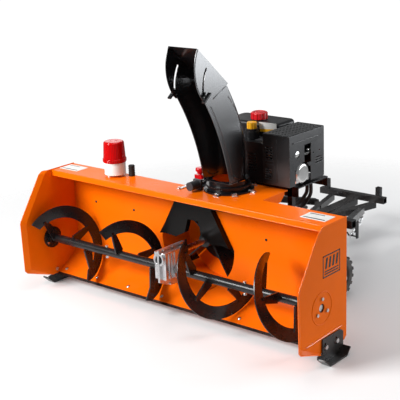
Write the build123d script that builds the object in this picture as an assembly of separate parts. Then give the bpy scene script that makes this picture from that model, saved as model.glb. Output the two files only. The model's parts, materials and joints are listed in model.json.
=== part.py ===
from build123d import *
from math import cos, pi, radians, sin, sqrt
import os

# Two-stage snowblower attachment for a utility vehicle. Millimetres, +Z up.
# While it is modelled, y = 0 is the rear face of the upright back sheet, the intake opens towards -Y,
# and z = 0 is the flat bottom edge of the end plates. Every piece is then moved by to_part_frame.

# ---- driving dimensions: housing
CLEAR_WIDTH = 1524.0
INTAKE_HEIGHT = 509.0
GROUND_GAP = 45.0
PLATE_T = 4.0
SHEET_T = 3.0
TOP_Z = 506.0
TOP_DEPTH = 144.0
LIP_DROP = 26.0
FLARE = 12.0
FLARE_WIDTH = 26.0

# ---- auger stage
AUGER_Y = -172.0
AUGER_Z = 186.0
AUGER_R = 162.0
RIBBON_WIDTH = 56.0
RIBBON_T = 5.0
RIBBON_PITCH = 350.0
TUBE_R = 19.0
SHAFT_R = 12.7
RUNNING_FIT = 0.05

# ---- impeller stage
IMPELLER_Z = 250.0
DRUM_R = 205.0
DRUM_DEPTH = 175.0
IMPELLER_R = 193.0
WORM_SHAFT_R = 12.7

# ---- discharge
CHUTE_X = 140.0
CHUTE_Y = 54.0
COLLAR_R = 79.5
COLLAR_TOP = 552.0
RING_R = 108.0
CHUTE_HALF_WIDTH = 71.0
CHUTE_T = 2.5
HINGE_Y = -27.0
HINGE_Z = 977.0
SLOT_R = 154.0

# ---- drive and engine
ENGINE_X = 110.0
ENGINE_SHAFT_Z = 600.0
ENGINE_FLOOR_Z = 510.0
BELT_Y = 193.0
GUARD_X0, GUARD_X1 = 247.0, 384.0
GUARD_Y0, GUARD_Y1 = 156.0, 411.0
GUARD_Z0, GUARD_Z1 = 523.0, 743.0

# ---- carrier frame and wheels
CROSSBAR_Y = 1254.0
CROSSBAR_Z = 160.0
CROSSBAR_HALF = 195.0
FRAME_TUBE = 32.0
WHEEL_R = 101.0
WHEEL_X = 443.0
WHEEL_Y = 426.0

HALF_WIDTH = CLEAR_WIDTH / 2
FRONT_Y = -345.0
REAR_Y = CROSSBAR_Y + FRAME_TUBE / 2
MIDDLE_Y = (FRONT_Y + REAR_Y) / 2
WHEEL_Z = WHEEL_R - GROUND_GAP

os.makedirs("parts", exist_ok=True)


def to_part_frame(shape):
    """The part's origin is on the ground, under the middle of its box."""
    return Pos(0, -MIDDLE_Y, GROUND_GAP) * shape


def save(name, solids):
    pieces = solids if isinstance(solids, list) else [solids]
    flat = [one for piece in pieces for one in piece.solids()]
    moved = [to_part_frame(one) for one in flat]
    body = moved[0] if len(moved) == 1 else Compound(children=moved)
    body.label = name
    export_step(body, "parts/" + name + ".step")


def block(x0, x1, y0, y1, z0, z1):
    solid = Box(x1 - x0, y1 - y0, z1 - z0, align=(Align.MIN, Align.MIN, Align.MIN))
    return Pos(x0, y0, z0) * solid


def rod(radius, start, end):
    start, end = Vector(*start), Vector(*end)
    length = (end - start).length
    return Solid.make_cylinder(radius, length, Plane(origin=start, z_dir=end - start))


def pipe(outer_r, inner_r, start, end):
    direction = (Vector(*end) - Vector(*start)).normalized()
    far_start = Vector(*start) - direction
    far_end = Vector(*end) + direction
    return rod(outer_r, start, end) - rod(inner_r, tuple(far_start), tuple(far_end))


def prism_x(points, x0, x1):
    """A flat outline of (y, z) points, extruded from x0 to x1."""
    face = make_face(Polyline(*points, close=True))
    return Pos(x0, 0, 0) * extrude(Plane.YZ * face, amount=x1 - x0)


def prism_y(points, y0, y1):
    """A flat outline of (x, z) points, extruded from y0 to y1."""
    face = make_face(Polyline(*points, close=True))
    return Pos(0, y1, 0) * extrude(Plane.XZ * face, amount=y1 - y0)


def prism_z(points, z0, z1):
    face = make_face(Polyline(*points, close=True))
    return Pos(0, 0, z0) * extrude(face, amount=z1 - z0)


def box_tube(start, end, width, height, wall=3.0):
    """A rectangular tube between two points, lying flat, open at both ends."""
    start, end = Vector(*start), Vector(*end)
    axis = end - start
    flat = Vector(0, 0, 1).cross(axis)
    flat = Vector(1, 0, 0) if flat.length < 0.001 else flat
    plane = Plane(origin=start, x_dir=flat, z_dir=axis)
    section = Rectangle(width, height) - Rectangle(width - 2 * wall, height - 2 * wall)
    return extrude(plane * section, amount=axis.length)


def square_tube(start, end, side):
    return box_tube(start, end, side, side)


def hex_head(across_flats, height, start, direction):
    plane = Plane(origin=start, z_dir=direction)
    head = extrude(plane * RegularPolygon(across_flats / 2, 6, major_radius=False), amount=height)
    return head


def bolt(across_flats, height, start, direction, shank_r, shank_length):
    """A hex head standing on start, with its shank running back the other way."""
    start, direction = Vector(*start), Vector(*direction).normalized()
    head = hex_head(across_flats, height, start, direction)
    shank = rod(shank_r, tuple(start - direction * shank_length), tuple(start + direction * 0.5))
    return head + shank


def carriage_bolt(radius, start, direction, shank_r, shank_length):
    """A low domed head on start, with its shank running back the other way."""
    start, direction = Vector(*start), Vector(*direction).normalized()
    dome_r = radius * 1.3
    sink = sqrt(dome_r**2 - radius**2)
    ball = Pos(*(start - direction * sink)) * Sphere(dome_r)
    head = ball & rod(radius, tuple(start), tuple(start + direction * radius))
    shank = rod(shank_r, tuple(start - direction * shank_length), tuple(start + direction * 0.5))
    return head + shank


def mirrored(shape):
    return mirror(shape, about=Plane.YZ)


# ---------------------------------------------------------------- housing

FLOOR_TURN = radians(61.3)
FLOOR_R = 161.0
FLOOR_TOP = 179.0
FLOOR_END_Y = -FLOOR_R + FLOOR_R * cos(FLOOR_TURN)
FLOOR_END_Z = FLOOR_TOP - FLOOR_R * sin(FLOOR_TURN)
EDGE_Y = -146.0
EDGE_Z = FLOOR_END_Z - (FLOOR_END_Y - EDGE_Y) * cos(FLOOR_TURN) / sin(FLOOR_TURN)


def sheet_face(offset):
    """The region in front of the folded sheet, seen from the side: offset moves it into the intake."""
    radius = FLOOR_R - offset
    normal_y = -cos(FLOOR_TURN)
    normal_z = sin(FLOOR_TURN)
    turn_end = (-FLOOR_R + radius * cos(FLOOR_TURN), FLOOR_TOP - radius * sin(FLOOR_TURN))
    turn_mid = (-FLOOR_R + radius * cos(FLOOR_TURN / 2), FLOOR_TOP - radius * sin(FLOOR_TURN / 2))
    edge = (EDGE_Y + offset * normal_y, EDGE_Z + offset * normal_z)
    lip = (-TOP_DEPTH + offset, TOP_Z - LIP_DROP)
    top_front = (-TOP_DEPTH + offset, TOP_Z - offset)
    top_rear = (-offset, TOP_Z - offset)
    return lip, top_front, top_rear, (-offset, FLOOR_TOP), turn_mid, turn_end, edge


def folded_sheet(x0, x1):
    lip, front, rear, drop, turn_mid, turn_end, edge = sheet_face(0)
    lip2, front2, rear2, drop2, turn_mid2, turn_end2, edge2 = sheet_face(SHEET_T)
    outline = [
        Line(lip, front),
        Line(front, rear),
        Line(rear, drop),
        ThreePointArc(drop, turn_mid, turn_end),
        Line(turn_end, edge),
        Line(edge, edge2),
        Line(edge2, turn_end2),
        ThreePointArc(turn_end2, turn_mid2, drop2),
        Line(drop2, rear2),
        Line(rear2, front2),
        Line(front2, lip2),
        Line(lip2, lip),
    ]
    return Pos(x0, 0, 0) * extrude(Plane.YZ * make_face(outline), amount=x1 - x0)


def intake_volume():
    """Everything in front of the rear faces of the folded sheet."""
    lip, front, rear, drop, turn_mid, turn_end, edge = sheet_face(0)
    far_low = (-600, edge[1])
    far_high = (-600, TOP_Z)
    outline = [
        Line(far_high, rear),
        Line(rear, drop),
        ThreePointArc(drop, turn_mid, turn_end),
        Line(turn_end, edge),
        Line(edge, far_low),
        Line(far_low, far_high),
    ]
    return Pos(-HALF_WIDTH, 0, 0) * extrude(Plane.YZ * make_face(outline), amount=CLEAR_WIDTH)


# The shield's sides slope from the drum's widest level up to a narrow top, in (x, z).
SHIELD_FOOT = (196.5, 272.0)
OPENING_FOOT = (208.5, 250.0)
SHIELD_NECK = (104.0, 428.0)
THROAT_X0, THROAT_X1 = 62.0, 218.0
THROAT_Z = 440.0


def drum_opening():
    """The drum's circle, cut back to the shield's sloping sides, and the throat under the collar."""
    circle = rod(DRUM_R, (0, -160, IMPELLER_Z), (0, 1, IMPELLER_Z))
    foot_x, foot_z = OPENING_FOOT
    neck_x, neck_z = SHIELD_NECK
    region = [(-foot_x, 0), (foot_x, 0), (foot_x, foot_z), (neck_x, neck_z)]
    region += [(neck_x, THROAT_Z), (-neck_x, THROAT_Z), (-neck_x, neck_z), (-foot_x, foot_z)]
    clipped = circle & prism_y(region, -160, 2)
    throat = block(THROAT_X0, THROAT_X1, -10, 2, THROAT_Z, TOP_Z - SHEET_T)
    return [clipped, throat]


def housing_shell():
    sheet = folded_sheet(-HALF_WIDTH + PLATE_T, HALF_WIDTH - PLATE_T)
    for opening in drum_opening():
        sheet -= opening
    sheet -= rod(COLLAR_R + 0.4, (CHUTE_X, CHUTE_Y, TOP_Z - 40), (CHUTE_X, CHUTE_Y, TOP_Z + 5))
    return sheet


def plate_outline(inset):
    """End plate outline; inset pulls the front and bottom-front edges in, for the flat inside the flare."""
    k = inset
    return [
        (0, INTAKE_HEIGHT),
        (-190 + k * 0.95, INTAKE_HEIGHT),
        (-212 + k * 0.97, INTAKE_HEIGHT - 12 - k * 0.1),
        (-340 + k * 1.02, 305 - k * 0.18),
        (FRONT_Y + k, 290 - k * 0.12),
        (-341 + k, 60 + k * 0.3),
        (-328 + k * 0.9, 46 + k * 0.55),
        (-197 + k * 0.55, 0),
        (-14, 0),
        (0, 14),
    ]


BEARING_BOLT_R = 38.0
BEARING_BOLT_ANGLES = (90, 210, 330)


def bearing_bolt_centres():
    return [
        (AUGER_Y + BEARING_BOLT_R * cos(radians(a)), AUGER_Z + BEARING_BOLT_R * sin(radians(a)))
        for a in BEARING_BOLT_ANGLES
    ]


SHOE_BOLTS = ((-158.0, 22.0), (-82.0, 22.0))


def end_plate():
    """Right end plate: flat, with its front edges flared outwards."""
    inner_x = HALF_WIDTH - PLATE_T
    flat = Plane(origin=(inner_x, 0, 0), x_dir=(0, 1, 0), z_dir=(1, 0, 0))
    rim = Plane(origin=(inner_x + FLARE, 0, 0), x_dir=(0, 1, 0), z_dir=(1, 0, 0))
    flat_face = flat * make_face(Polyline(*plate_outline(FLARE_WIDTH), close=True))
    rim_face = rim * make_face(Polyline(*plate_outline(0), close=True))
    dish = loft([flat_face, rim_face], ruled=True)
    plate = dish - Pos(PLATE_T, 0, 0) * dish
    plate = max(plate.solids(), key=lambda one: one.volume)
    plate -= rod(18, (inner_x - 5, AUGER_Y, AUGER_Z), (inner_x + 20, AUGER_Y, AUGER_Z))
    for y, z in bearing_bolt_centres():
        plate -= rod(4.2, (inner_x - 5, y, z), (inner_x + 20, y, z))
    for y, z in SHOE_BOLTS:
        plate -= rod(5.2, (inner_x - 5, y, z), (inner_x + 20, y, z))
    return plate


def impeller_drum():
    """Drum shell with the straight discharge throat at its right-hand top."""
    back = DRUM_DEPTH
    wall = SHEET_T
    outer = rod(DRUM_R + wall, (0, -130, IMPELLER_Z), (0, back, IMPELLER_Z))
    inner = rod(DRUM_R, (0, -131, IMPELLER_Z), (0, back - wall, IMPELLER_Z))
    top = TOP_Z - wall
    right = DRUM_R + wall
    throat_out = [(THROAT_X0 - 7, top), (THROAT_X1 + 7, top), (right, IMPELLER_Z), (0, IMPELLER_Z)]
    throat_out += [(THROAT_X0 - 7, IMPELLER_Z + 60)]
    throat_in = [(THROAT_X0 - 4, top + 1), (THROAT_X1 + 4, top + 1), (right - wall, IMPELLER_Z)]
    throat_in += [(0, IMPELLER_Z), (THROAT_X0 - 4, IMPELLER_Z + 60)]
    shell = outer + prism_y(throat_out, 0, back)
    shell -= inner
    shell -= prism_y(throat_in, -1, back - wall)
    shell -= intake_volume()
    shell -= rod(30, (0, 0, IMPELLER_Z), (0, back + 5, IMPELLER_Z))
    return max(shell.solids(), key=lambda one: one.volume)


def outlet_deck():
    """Deck beside and behind the top plate, with the collar that the chute turns on."""
    deck = block(8, 360, 0.2, DRUM_DEPTH, TOP_Z - SHEET_T, TOP_Z)
    deck += block(360 - SHEET_T, 360, 0.2, 150, TOP_Z - 40, TOP_Z - 1)
    deck -= prism_x([(151, TOP_Z - 60), (100, TOP_Z - 60), (151, TOP_Z - 12)], 350, 365)
    low = TOP_Z - SHEET_T
    deck -= rod(COLLAR_R - 1, (CHUTE_X, CHUTE_Y, low - 5), (CHUTE_X, CHUTE_Y, TOP_Z + 5))
    collar = pipe(COLLAR_R, COLLAR_R - 3.5, (CHUTE_X, CHUTE_Y, low), (CHUTE_X, CHUTE_Y, COLLAR_TOP))
    return deck + collar


SHIELD_FRONT, SHIELD_BACK = -30.0, -3.0
SHIELD_T = 2.5


def intake_shield():
    """Black pressed pan in front of the drum's upper half, arched over the impeller shaft."""
    foot_x, foot_z = SHIELD_FOOT
    neck_x, neck_z = SHIELD_NECK
    high = TOP_Z - SHEET_T
    throat_right = THROAT_X1 + 10
    outline = [(-foot_x, foot_z), (-161, 327), (-neck_x, neck_z), (-neck_x, high), (throat_right, high)]
    outline += [(throat_right, neck_z + 8), (neck_x, neck_z), (161, 327), (foot_x, foot_z)]
    outline += [(165, 277), (100, 272), (48, 300), (31, 364)]
    outline += [(-28, 364), (-48, 300), (-100, 272), (-165, 277)]
    face = make_face(Polyline(*outline, close=True))
    inset = offset(face, amount=-SHIELD_T, kind=Kind.INTERSECTION)
    solid = Pos(0, SHIELD_BACK, 0) * extrude(Plane.XZ * face, amount=SHIELD_BACK - SHIELD_FRONT)
    pocket_depth = SHIELD_BACK - SHIELD_FRONT - SHIELD_T
    pocket = Pos(0, SHIELD_BACK + 1, 0) * extrude(Plane.XZ * inset, amount=pocket_depth + 1)
    return solid - pocket


SCRAPER_BOLT_X = (-725.0, -520.0, -320.0, -115.0, 115.0, 320.0, 520.0, 725.0)
SCRAPER_T = 6.0
SCRAPER_WIDTH = 60.0


def floor_point(distance, depth):
    """A point distance back from the sheet's front edge, depth below the sheet's underside."""
    along_y = sin(FLOOR_TURN)
    along_z = cos(FLOOR_TURN)
    y = EDGE_Y + distance * along_y + depth * along_z
    z = EDGE_Z + distance * along_z - depth * along_y
    return y, z


def scraper_bar():
    corners = [
        floor_point(-14, 0),
        floor_point(SCRAPER_WIDTH - 14, 0),
        floor_point(SCRAPER_WIDTH - 14, SCRAPER_T),
        floor_point(-8, SCRAPER_T),
    ]
    reach = HALF_WIDTH - PLATE_T - 0.5
    bar = prism_x(corners, -reach, reach)
    for x in SCRAPER_BOLT_X:
        bar -= scraper_hole(x, 5.1)
    return bar


def scraper_hole(x, radius):
    y0, z0 = floor_point(26, 20)
    y1, z1 = floor_point(26, -20)
    return rod(radius, (x, y0, z0), (x, y1, z1))


def scraper_bolts():
    bolts = []
    up = (0, -cos(FLOOR_TURN), sin(FLOOR_TURN))
    y, z = floor_point(26, -SHEET_T)
    low_y, low_z = floor_point(26, SCRAPER_T)
    for x in SCRAPER_BOLT_X:
        bolts.append(carriage_bolt(9, (x, y, z), up, 5, SHEET_T + SCRAPER_T + 12))
        bolts.append(hex_head(15, 7, (x, low_y, low_z), (0, -up[1], -up[2])))
    return bolts


def drilled_housing():
    shell = housing_shell()
    for x in SCRAPER_BOLT_X:
        shell -= scraper_hole(x, 5.1)
    return shell


SHOE_T = 6.0


def skid_shoe():
    """Right skid shoe: upright plate bolted to the end plate, with a runner turned up at both ends."""
    x = HALF_WIDTH + 0.2
    front, rear = -208.0, -30.0
    low = -GROUND_GAP
    upright = [(front + 32, 58), (rear - 20, 58), (rear - 2, 46), (rear - 2, -14)]
    upright += [(rear - 30, low), (front + 32, low), (front, -16), (front + 1, -4), (front + 30, -1)]
    plate = prism_x(upright, x, x + SHOE_T)
    runner_out = [(front, -16), (front + 32, low), (rear - 30, low), (rear - 2, -14)]
    runner_in = [(rear - 6, -11), (rear - 32, low + SHOE_T), (front + 34, low + SHOE_T), (front + 4, -11)]
    runner = prism_x(runner_out + runner_in, x, x + 42)
    shoe = plate + runner
    for y, z in SHOE_BOLTS:
        shoe -= block(x - 1, x + SHOE_T + 1, y - 5.3, y + 5.3, z - 16, z + 16)
    return shoe


def shoe_bolts():
    x = HALF_WIDTH + 0.2 + SHOE_T
    pieces = []
    for y, z in SHOE_BOLTS:
        pieces.append(bolt(17, 8, (x, y, z), (1, 0, 0), 5, SHOE_T + PLATE_T + 10))
        pieces.append(hex_head(17, 8, (HALF_WIDTH - PLATE_T, y, z), (-1, 0, 0)))
    return pieces


def label_plate(x0, x1):
    plate = block(x0, x1, -100, -26, TOP_Z, TOP_Z + 1.2)
    return plate


# ---------------------------------------------------------------- auger stage

# x of the point where each ribbon's helix crosses the front, its first and last angle, and its side:
# angles run front, top, back, bottom while the helix runs towards the gearbox.
RIBBONS = (
    (-776.0, 36.0, 282.0, 1),
    (-380.0, 52.0, 300.0, 1),
    (534.0, 82.0 + 360, 214.0, -1),
    (575.0, 120.0, -98.0, -1),
)


def ribbon_point(x_front, angle, side, radius):
    x = x_front + side * RIBBON_PITCH * angle / 360
    return x, AUGER_Y - radius * cos(radians(angle)), AUGER_Z + radius * sin(radians(angle))


def ribbon(x_front, first, last, side):
    """A flat bar wound edge-on round the auger axis."""
    low, high = min(first, last), max(first, last)
    middle_r = AUGER_R - RIBBON_WIDTH / 2
    height = RIBBON_PITCH * (high - low) / 360
    path = Helix(RIBBON_PITCH, height, middle_r, lefthand=side > 0)
    tangent = path % 0
    start = path @ 0
    plane = Plane(origin=start, x_dir=(1, 0, 0), z_dir=tangent)
    wound = sweep(plane * Rectangle(RIBBON_WIDTH, RIBBON_T), path=path, is_frenet=True)
    x = x_front + side * RIBBON_PITCH * low / 360
    outward = (0, -cos(radians(low)), sin(radians(low)))
    axis = Plane(origin=(x, AUGER_Y, AUGER_Z), x_dir=outward, z_dir=(side, 0, 0))
    return axis.location * wound


def spoke(x_front, angle, side):
    """A flat bar standing on the tube and reaching the ribbon's inner part."""
    x, y, z = ribbon_point(x_front, angle, side, AUGER_R - RIBBON_WIDTH + 14)
    direction = Vector(0, y - AUGER_Y, z - AUGER_Z)
    plane = Plane(origin=(x, AUGER_Y, AUGER_Z), x_dir=(1, 0, 0), z_dir=direction)
    foot = Plane(origin=plane.origin + plane.z_dir * (TUBE_R - 3), x_dir=(1, 0, 0), z_dir=direction)
    tip = Plane(origin=plane.origin + plane.z_dir * direction.length, x_dir=(1, 0, 0), z_dir=direction)
    return loft([foot * Rectangle(8, 46), tip * Rectangle(8, 22)], ruled=True)


TUBE_INNER_X = 70.0
TUBE_OUTER_X = 738.0
SHEAR_X = 392.0


def auger_half(side):
    """One side's tube, with its two ribbons and their spokes welded on."""
    start = (side * TUBE_INNER_X, AUGER_Y, AUGER_Z)
    end = (side * TUBE_OUTER_X, AUGER_Y, AUGER_Z)
    half = pipe(TUBE_R, SHAFT_R + 0.02, start, end)
    for x_front, first, last, direction in RIBBONS:
        if (x_front < 0) != (side < 0):
            continue
        half += ribbon(x_front, first, last, direction)
        low, high = min(first, last), max(first, last)
        for share in (0.08, 0.5, 0.92):
            half += spoke(x_front, low + share * (high - low), direction)
    half -= rod(SHAFT_R + 0.02, (side * 40, AUGER_Y, AUGER_Z), (side * 760, AUGER_Y, AUGER_Z))
    half -= shear_hole(side, 4.1)
    return half


def shear_hole(side, radius):
    x = side * SHEAR_X
    return rod(radius, (x, AUGER_Y, AUGER_Z - 60), (x, AUGER_Y, AUGER_Z + 60))


def auger_shaft():
    reach = HALF_WIDTH - PLATE_T - 1
    shaft = rod(SHAFT_R, (-reach, AUGER_Y, AUGER_Z), (reach, AUGER_Y, AUGER_Z))
    for side in (-1, 1):
        shaft -= shear_hole(side, 4.1)
    return shaft


def shear_bolts():
    bolts = []
    for side in (-1, 1):
        x = side * SHEAR_X
        bolts.append(bolt(13, 6, (x, AUGER_Y, AUGER_Z + TUBE_R + 4), (0, 0, 1), 4, 2 * TUBE_R + 14))
        bolts.append(hex_head(13, 7, (x, AUGER_Y, AUGER_Z - TUBE_R - 4), (0, 0, -1)))
    return bolts


def auger_bearing():
    """Right flange bearing, inside the end plate."""
    x1 = HALF_WIDTH - PLATE_T
    x0 = x1 - 8
    body = rod(50, (x0, AUGER_Y, AUGER_Z), (x1, AUGER_Y, AUGER_Z))
    body += rod(28, (x0 - 8, AUGER_Y, AUGER_Z), (x0 + 1, AUGER_Y, AUGER_Z))
    body -= rod(SHAFT_R + RUNNING_FIT, (x0 - 20, AUGER_Y, AUGER_Z), (x1 + 20, AUGER_Y, AUGER_Z))
    for y, z in bearing_bolt_centres():
        body -= rod(4.2, (x0 - 5, y, z), (x1 + 5, y, z))
    return body


def bearing_bolts():
    outer = HALF_WIDTH
    inner = HALF_WIDTH - PLATE_T - 8
    pieces = []
    for y, z in bearing_bolt_centres():
        pieces.append(bolt(13, 6, (outer, y, z), (1, 0, 0), 4, PLATE_T + 8))
        pieces.append(hex_head(13, 6, (inner, y, z), (-1, 0, 0)))
    return pieces


GEAR_CASE_R = 57.0
GEAR_CASE_HALF = 31.0
WORM_CASE_FRONT = -246.0
WORM_CASE_REAR = -108.0
WORM_CASE_TOP = IMPELLER_Z + 29.0
CASE_WALL = 6.0


def case_profile(inset):
    """Gearbox in (y, z): round below about the auger shaft, square above about the worm."""
    k = inset
    wheel = Pos(AUGER_Y, AUGER_Z) * Circle(GEAR_CASE_R - k)
    front, rear = WORM_CASE_FRONT + k, WORM_CASE_REAR - k
    top = WORM_CASE_TOP - k
    square = [(front, AUGER_Z - 26 + k), (front, top), (rear, top), (rear, IMPELLER_Z - 24 + k)]
    box = make_face(Polyline(*square, close=True))
    return make_hull(wheel.edges() + box.edges())


def across(face, x0, x1):
    return Pos(x0, 0, 0) * extrude(Plane.YZ * face, amount=x1 - x0)


def gear_case():
    half = GEAR_CASE_HALF
    whole = across(case_profile(0), -half, half)
    whole += across(case_profile(-12), -5, 5)
    whole += rod(34, (-half - 12, AUGER_Y, AUGER_Z), (half + 12, AUGER_Y, AUGER_Z))
    for y in (-226, -208, -190, -150):
        rib = block(-half - 4, half + 4, y, y + 5, AUGER_Z - 24, WORM_CASE_TOP - 6)
        whole += rib
    worm_front = (0, WORM_CASE_FRONT - 10, IMPELLER_Z)
    whole += rod(28, worm_front, (0, WORM_CASE_FRONT + 10, IMPELLER_Z))
    whole -= rod(20, (0, WORM_CASE_FRONT - 11, IMPELLER_Z), (0, WORM_CASE_FRONT - 6, IMPELLER_Z))
    whole += rod(28, (0, WORM_CASE_REAR - 10, IMPELLER_Z), (0, WORM_CASE_REAR + 8, IMPELLER_Z))
    whole -= across(case_profile(CASE_WALL), -half + CASE_WALL, half - CASE_WALL)
    bore = SHAFT_R + RUNNING_FIT
    whole -= rod(bore, (-70, AUGER_Y, AUGER_Z), (70, AUGER_Y, AUGER_Z))
    worm_bore = WORM_SHAFT_R + RUNNING_FIT
    whole -= rod(worm_bore, (0, WORM_CASE_FRONT - 2, IMPELLER_Z), (0, WORM_CASE_REAR + 15, IMPELLER_Z))
    for y, z in case_bolt_centres():
        whole -= rod(3.1, (-20, y, z), (20, y, z))
    return whole


def case_bolt_centres():
    radius = GEAR_CASE_R + 6.2
    low = [(AUGER_Y + radius * cos(radians(a)), AUGER_Z + radius * sin(radians(a))) for a in (250, 292, 334)]
    high = [(y, WORM_CASE_TOP + 6.2) for y in (WORM_CASE_FRONT + 16, AUGER_Y, WORM_CASE_REAR - 14)]
    return low + high


def gear_case_half(side):
    keep = block(0, 120, -400, 0, 0, 400) if side > 0 else block(-120, 0, -400, 0, 0, 400)
    half = gear_case() & keep
    return max(half.solids(), key=lambda one: one.volume)


def case_bolts():
    pieces = []
    for y, z in case_bolt_centres():
        pieces.append(bolt(10, 5, (5, y, z), (1, 0, 0), 3, 12))
        pieces.append(hex_head(10, 5, (-5, y, z), (-1, 0, 0)))
    return pieces


WORM_R = 18.0
WHEEL_GEAR_R = IMPELLER_Z - AUGER_Z - WORM_R - 0.6


def worm_wheel():
    """Bronze wheel keyed to the auger shaft under the worm."""
    wheel = rod(WHEEL_GEAR_R, (-11, AUGER_Y, AUGER_Z), (11, AUGER_Y, AUGER_Z))
    wheel += rod(22, (-23, AUGER_Y, AUGER_Z), (23, AUGER_Y, AUGER_Z))
    teeth = 24
    for tooth in range(teeth):
        angle = 2 * pi * tooth / teeth
        y = AUGER_Y + (WHEEL_GEAR_R + 0.6) * cos(angle)
        z = AUGER_Z + (WHEEL_GEAR_R + 0.6) * sin(angle)
        wheel -= rod(2.2, (-14, y, z), (14, y, z))
    return wheel - rod(SHAFT_R + 0.02, (-40, AUGER_Y, AUGER_Z), (40, AUGER_Y, AUGER_Z))


SHAFT_REAR_Y = 204.0


def impeller_shaft():
    shaft = rod(WORM_SHAFT_R, (0, WORM_CASE_FRONT - 1.5, IMPELLER_Z), (0, SHAFT_REAR_Y, IMPELLER_Z))
    threads = 7
    lead = 8.0
    first = AUGER_Y - lead * threads / 2
    for turn in range(threads):
        y = first + lead * (turn + 0.25)
        shaft += rod(WORM_R, (0, y, IMPELLER_Z), (0, y + lead / 2, IMPELLER_Z))
    return shaft


PADDLES = 4
IMPELLER_Y0, IMPELLER_Y1 = 44.0, 158.0


def paddle(angle):
    """One radial paddle: a plate with a forward-curled tip, standing on the hub."""
    plate = block(22, IMPELLER_R, IMPELLER_Y0, IMPELLER_Y1, -3, 3)
    slant = prism_z([(20, IMPELLER_Y0 - 1), (IMPELLER_R + 1, IMPELLER_Y0 - 1), (20, IMPELLER_Y0 + 34)], -5, 5)
    curl = block(IMPELLER_R - 24, IMPELLER_R, IMPELLER_Y0, IMPELLER_Y1, 0, 16)
    curl -= block(IMPELLER_R - 30, IMPELLER_R - 4, IMPELLER_Y0 - 1, IMPELLER_Y1 + 1, 3, 30)
    whole = (plate + curl) - slant
    limit = rod(IMPELLER_R, (0, IMPELLER_Y0 - 5, 0), (0, IMPELLER_Y1 + 5, 0))
    whole = whole & limit
    return Pos(0, 0, IMPELLER_Z) * Rot(0, -angle, 0) * whole


def impeller():
    hub = rod(30, (0, IMPELLER_Y0, IMPELLER_Z), (0, IMPELLER_Y1, IMPELLER_Z))
    disc = rod(118, (0, IMPELLER_Y1 - 5, IMPELLER_Z), (0, IMPELLER_Y1, IMPELLER_Z))
    wheel = hub + disc
    for number in range(PADDLES):
        wheel += paddle(42 + 360 / PADDLES * number)
    return wheel - rod(WORM_SHAFT_R + 0.02, (0, -10, IMPELLER_Z), (0, 240, IMPELLER_Z))


def rear_bearing():
    """Flange bearing on the drum's back disc."""
    y0 = DRUM_DEPTH
    flange = rod(52, (0, y0, IMPELLER_Z), (0, y0 + 5, IMPELLER_Z))
    flange += rod(29, (0, y0 - 10, IMPELLER_Z), (0, y0 + 1, IMPELLER_Z))
    return flange - rod(WORM_SHAFT_R + RUNNING_FIT, (0, y0 - 20, IMPELLER_Z), (0, y0 + 20, IMPELLER_Z))


# ---------------------------------------------------------------- belt drive

BELT_WIDTH = 12.0
BIG_PULLEY_R = 88.0
SMALL_PULLEY_R = 40.0


def pulley(x, z, radius, bore):
    y0, y1 = BELT_Y - 9, BELT_Y + 9
    body = rod(radius, (x, y0, z), (x, y1, z))
    groove = rod(radius + 5, (x, BELT_Y - BELT_WIDTH / 2 - 0.5, z), (x, BELT_Y + BELT_WIDTH / 2 + 0.5, z))
    groove -= rod(radius - 10, (x, y0 - 1, z), (x, y1 + 1, z))
    body -= groove
    if radius > 60:
        for hole in range(5):
            angle = 2 * pi * hole / 5
            px, pz = x + radius * 0.52 * cos(angle), z + radius * 0.52 * sin(angle)
            body -= rod(radius * 0.17, (px, y0 - 1, pz), (px, y1 + 1, pz))
    return body - rod(bore, (x, y0 - 5, z), (x, y1 + 5, z))


def belt_loop(inner_gap, thickness):
    """Open belt round both pulleys, as the ring between two hulls of circles."""
    y0, y1 = BELT_Y - BELT_WIDTH / 2, BELT_Y + BELT_WIDTH / 2

    def hull(extra):
        r_low = BIG_PULLEY_R - 10 + extra
        r_high = SMALL_PULLEY_R - 10 + extra
        low = Pos(0, IMPELLER_Z) * Circle(r_low)
        high = Pos(ENGINE_X, ENGINE_SHAFT_Z) * Circle(r_high)
        outline = make_hull(low.edges() + high.edges())
        return Pos(0, y1, 0) * extrude(Plane.XZ * outline, amount=y1 - y0)

    return hull(inner_gap + thickness) - hull(inner_gap)


COVER_Y0, COVER_Y1 = 180.5, 206.0
COVER_UPPER = (-12.0, 240.0, 514.0, 690.0)


def cover_outline(inset):
    """Belt cover seen from the front: a box round the upper pulley and a leg down to the lower one."""
    x0, x1, z0, z1 = COVER_UPPER
    k = inset
    upper = Pos((x0 + x1) / 2, (z0 + z1) / 2) * RectangleRounded(x1 - x0 - 2 * k, z1 - z0 - 2 * k, 26 - k)
    low = Pos(0, IMPELLER_Z) * Circle(104 - k)
    high = Pos(ENGINE_X - 30, 560) * Circle(76 - k)
    leg = make_hull(low.edges() + high.edges())
    return upper + leg


def belt_cover():
    outer = Pos(0, COVER_Y1, 0) * extrude(Plane.XZ * cover_outline(0), amount=COVER_Y1 - COVER_Y0)
    inner = Pos(0, COVER_Y1 + 1, 0) * extrude(Plane.XZ * cover_outline(2.5), amount=COVER_Y1 - COVER_Y0 - 1.5)
    cover = outer - inner
    for row in range(7):
        z = 560 + 12.5 * row
        cover -= block(150, 192, COVER_Y0 - 2, COVER_Y0 + 4, z, z + 6)
    cover -= rod(56, (0, COVER_Y0 - 5, IMPELLER_Z), (0, COVER_Y0 + 10, IMPELLER_Z))
    return cover


# ---------------------------------------------------------------- chute

GEAR_R = 97.0
GEAR_TEETH = 48
GEAR_Z = TOP_Z + 22.0


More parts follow.
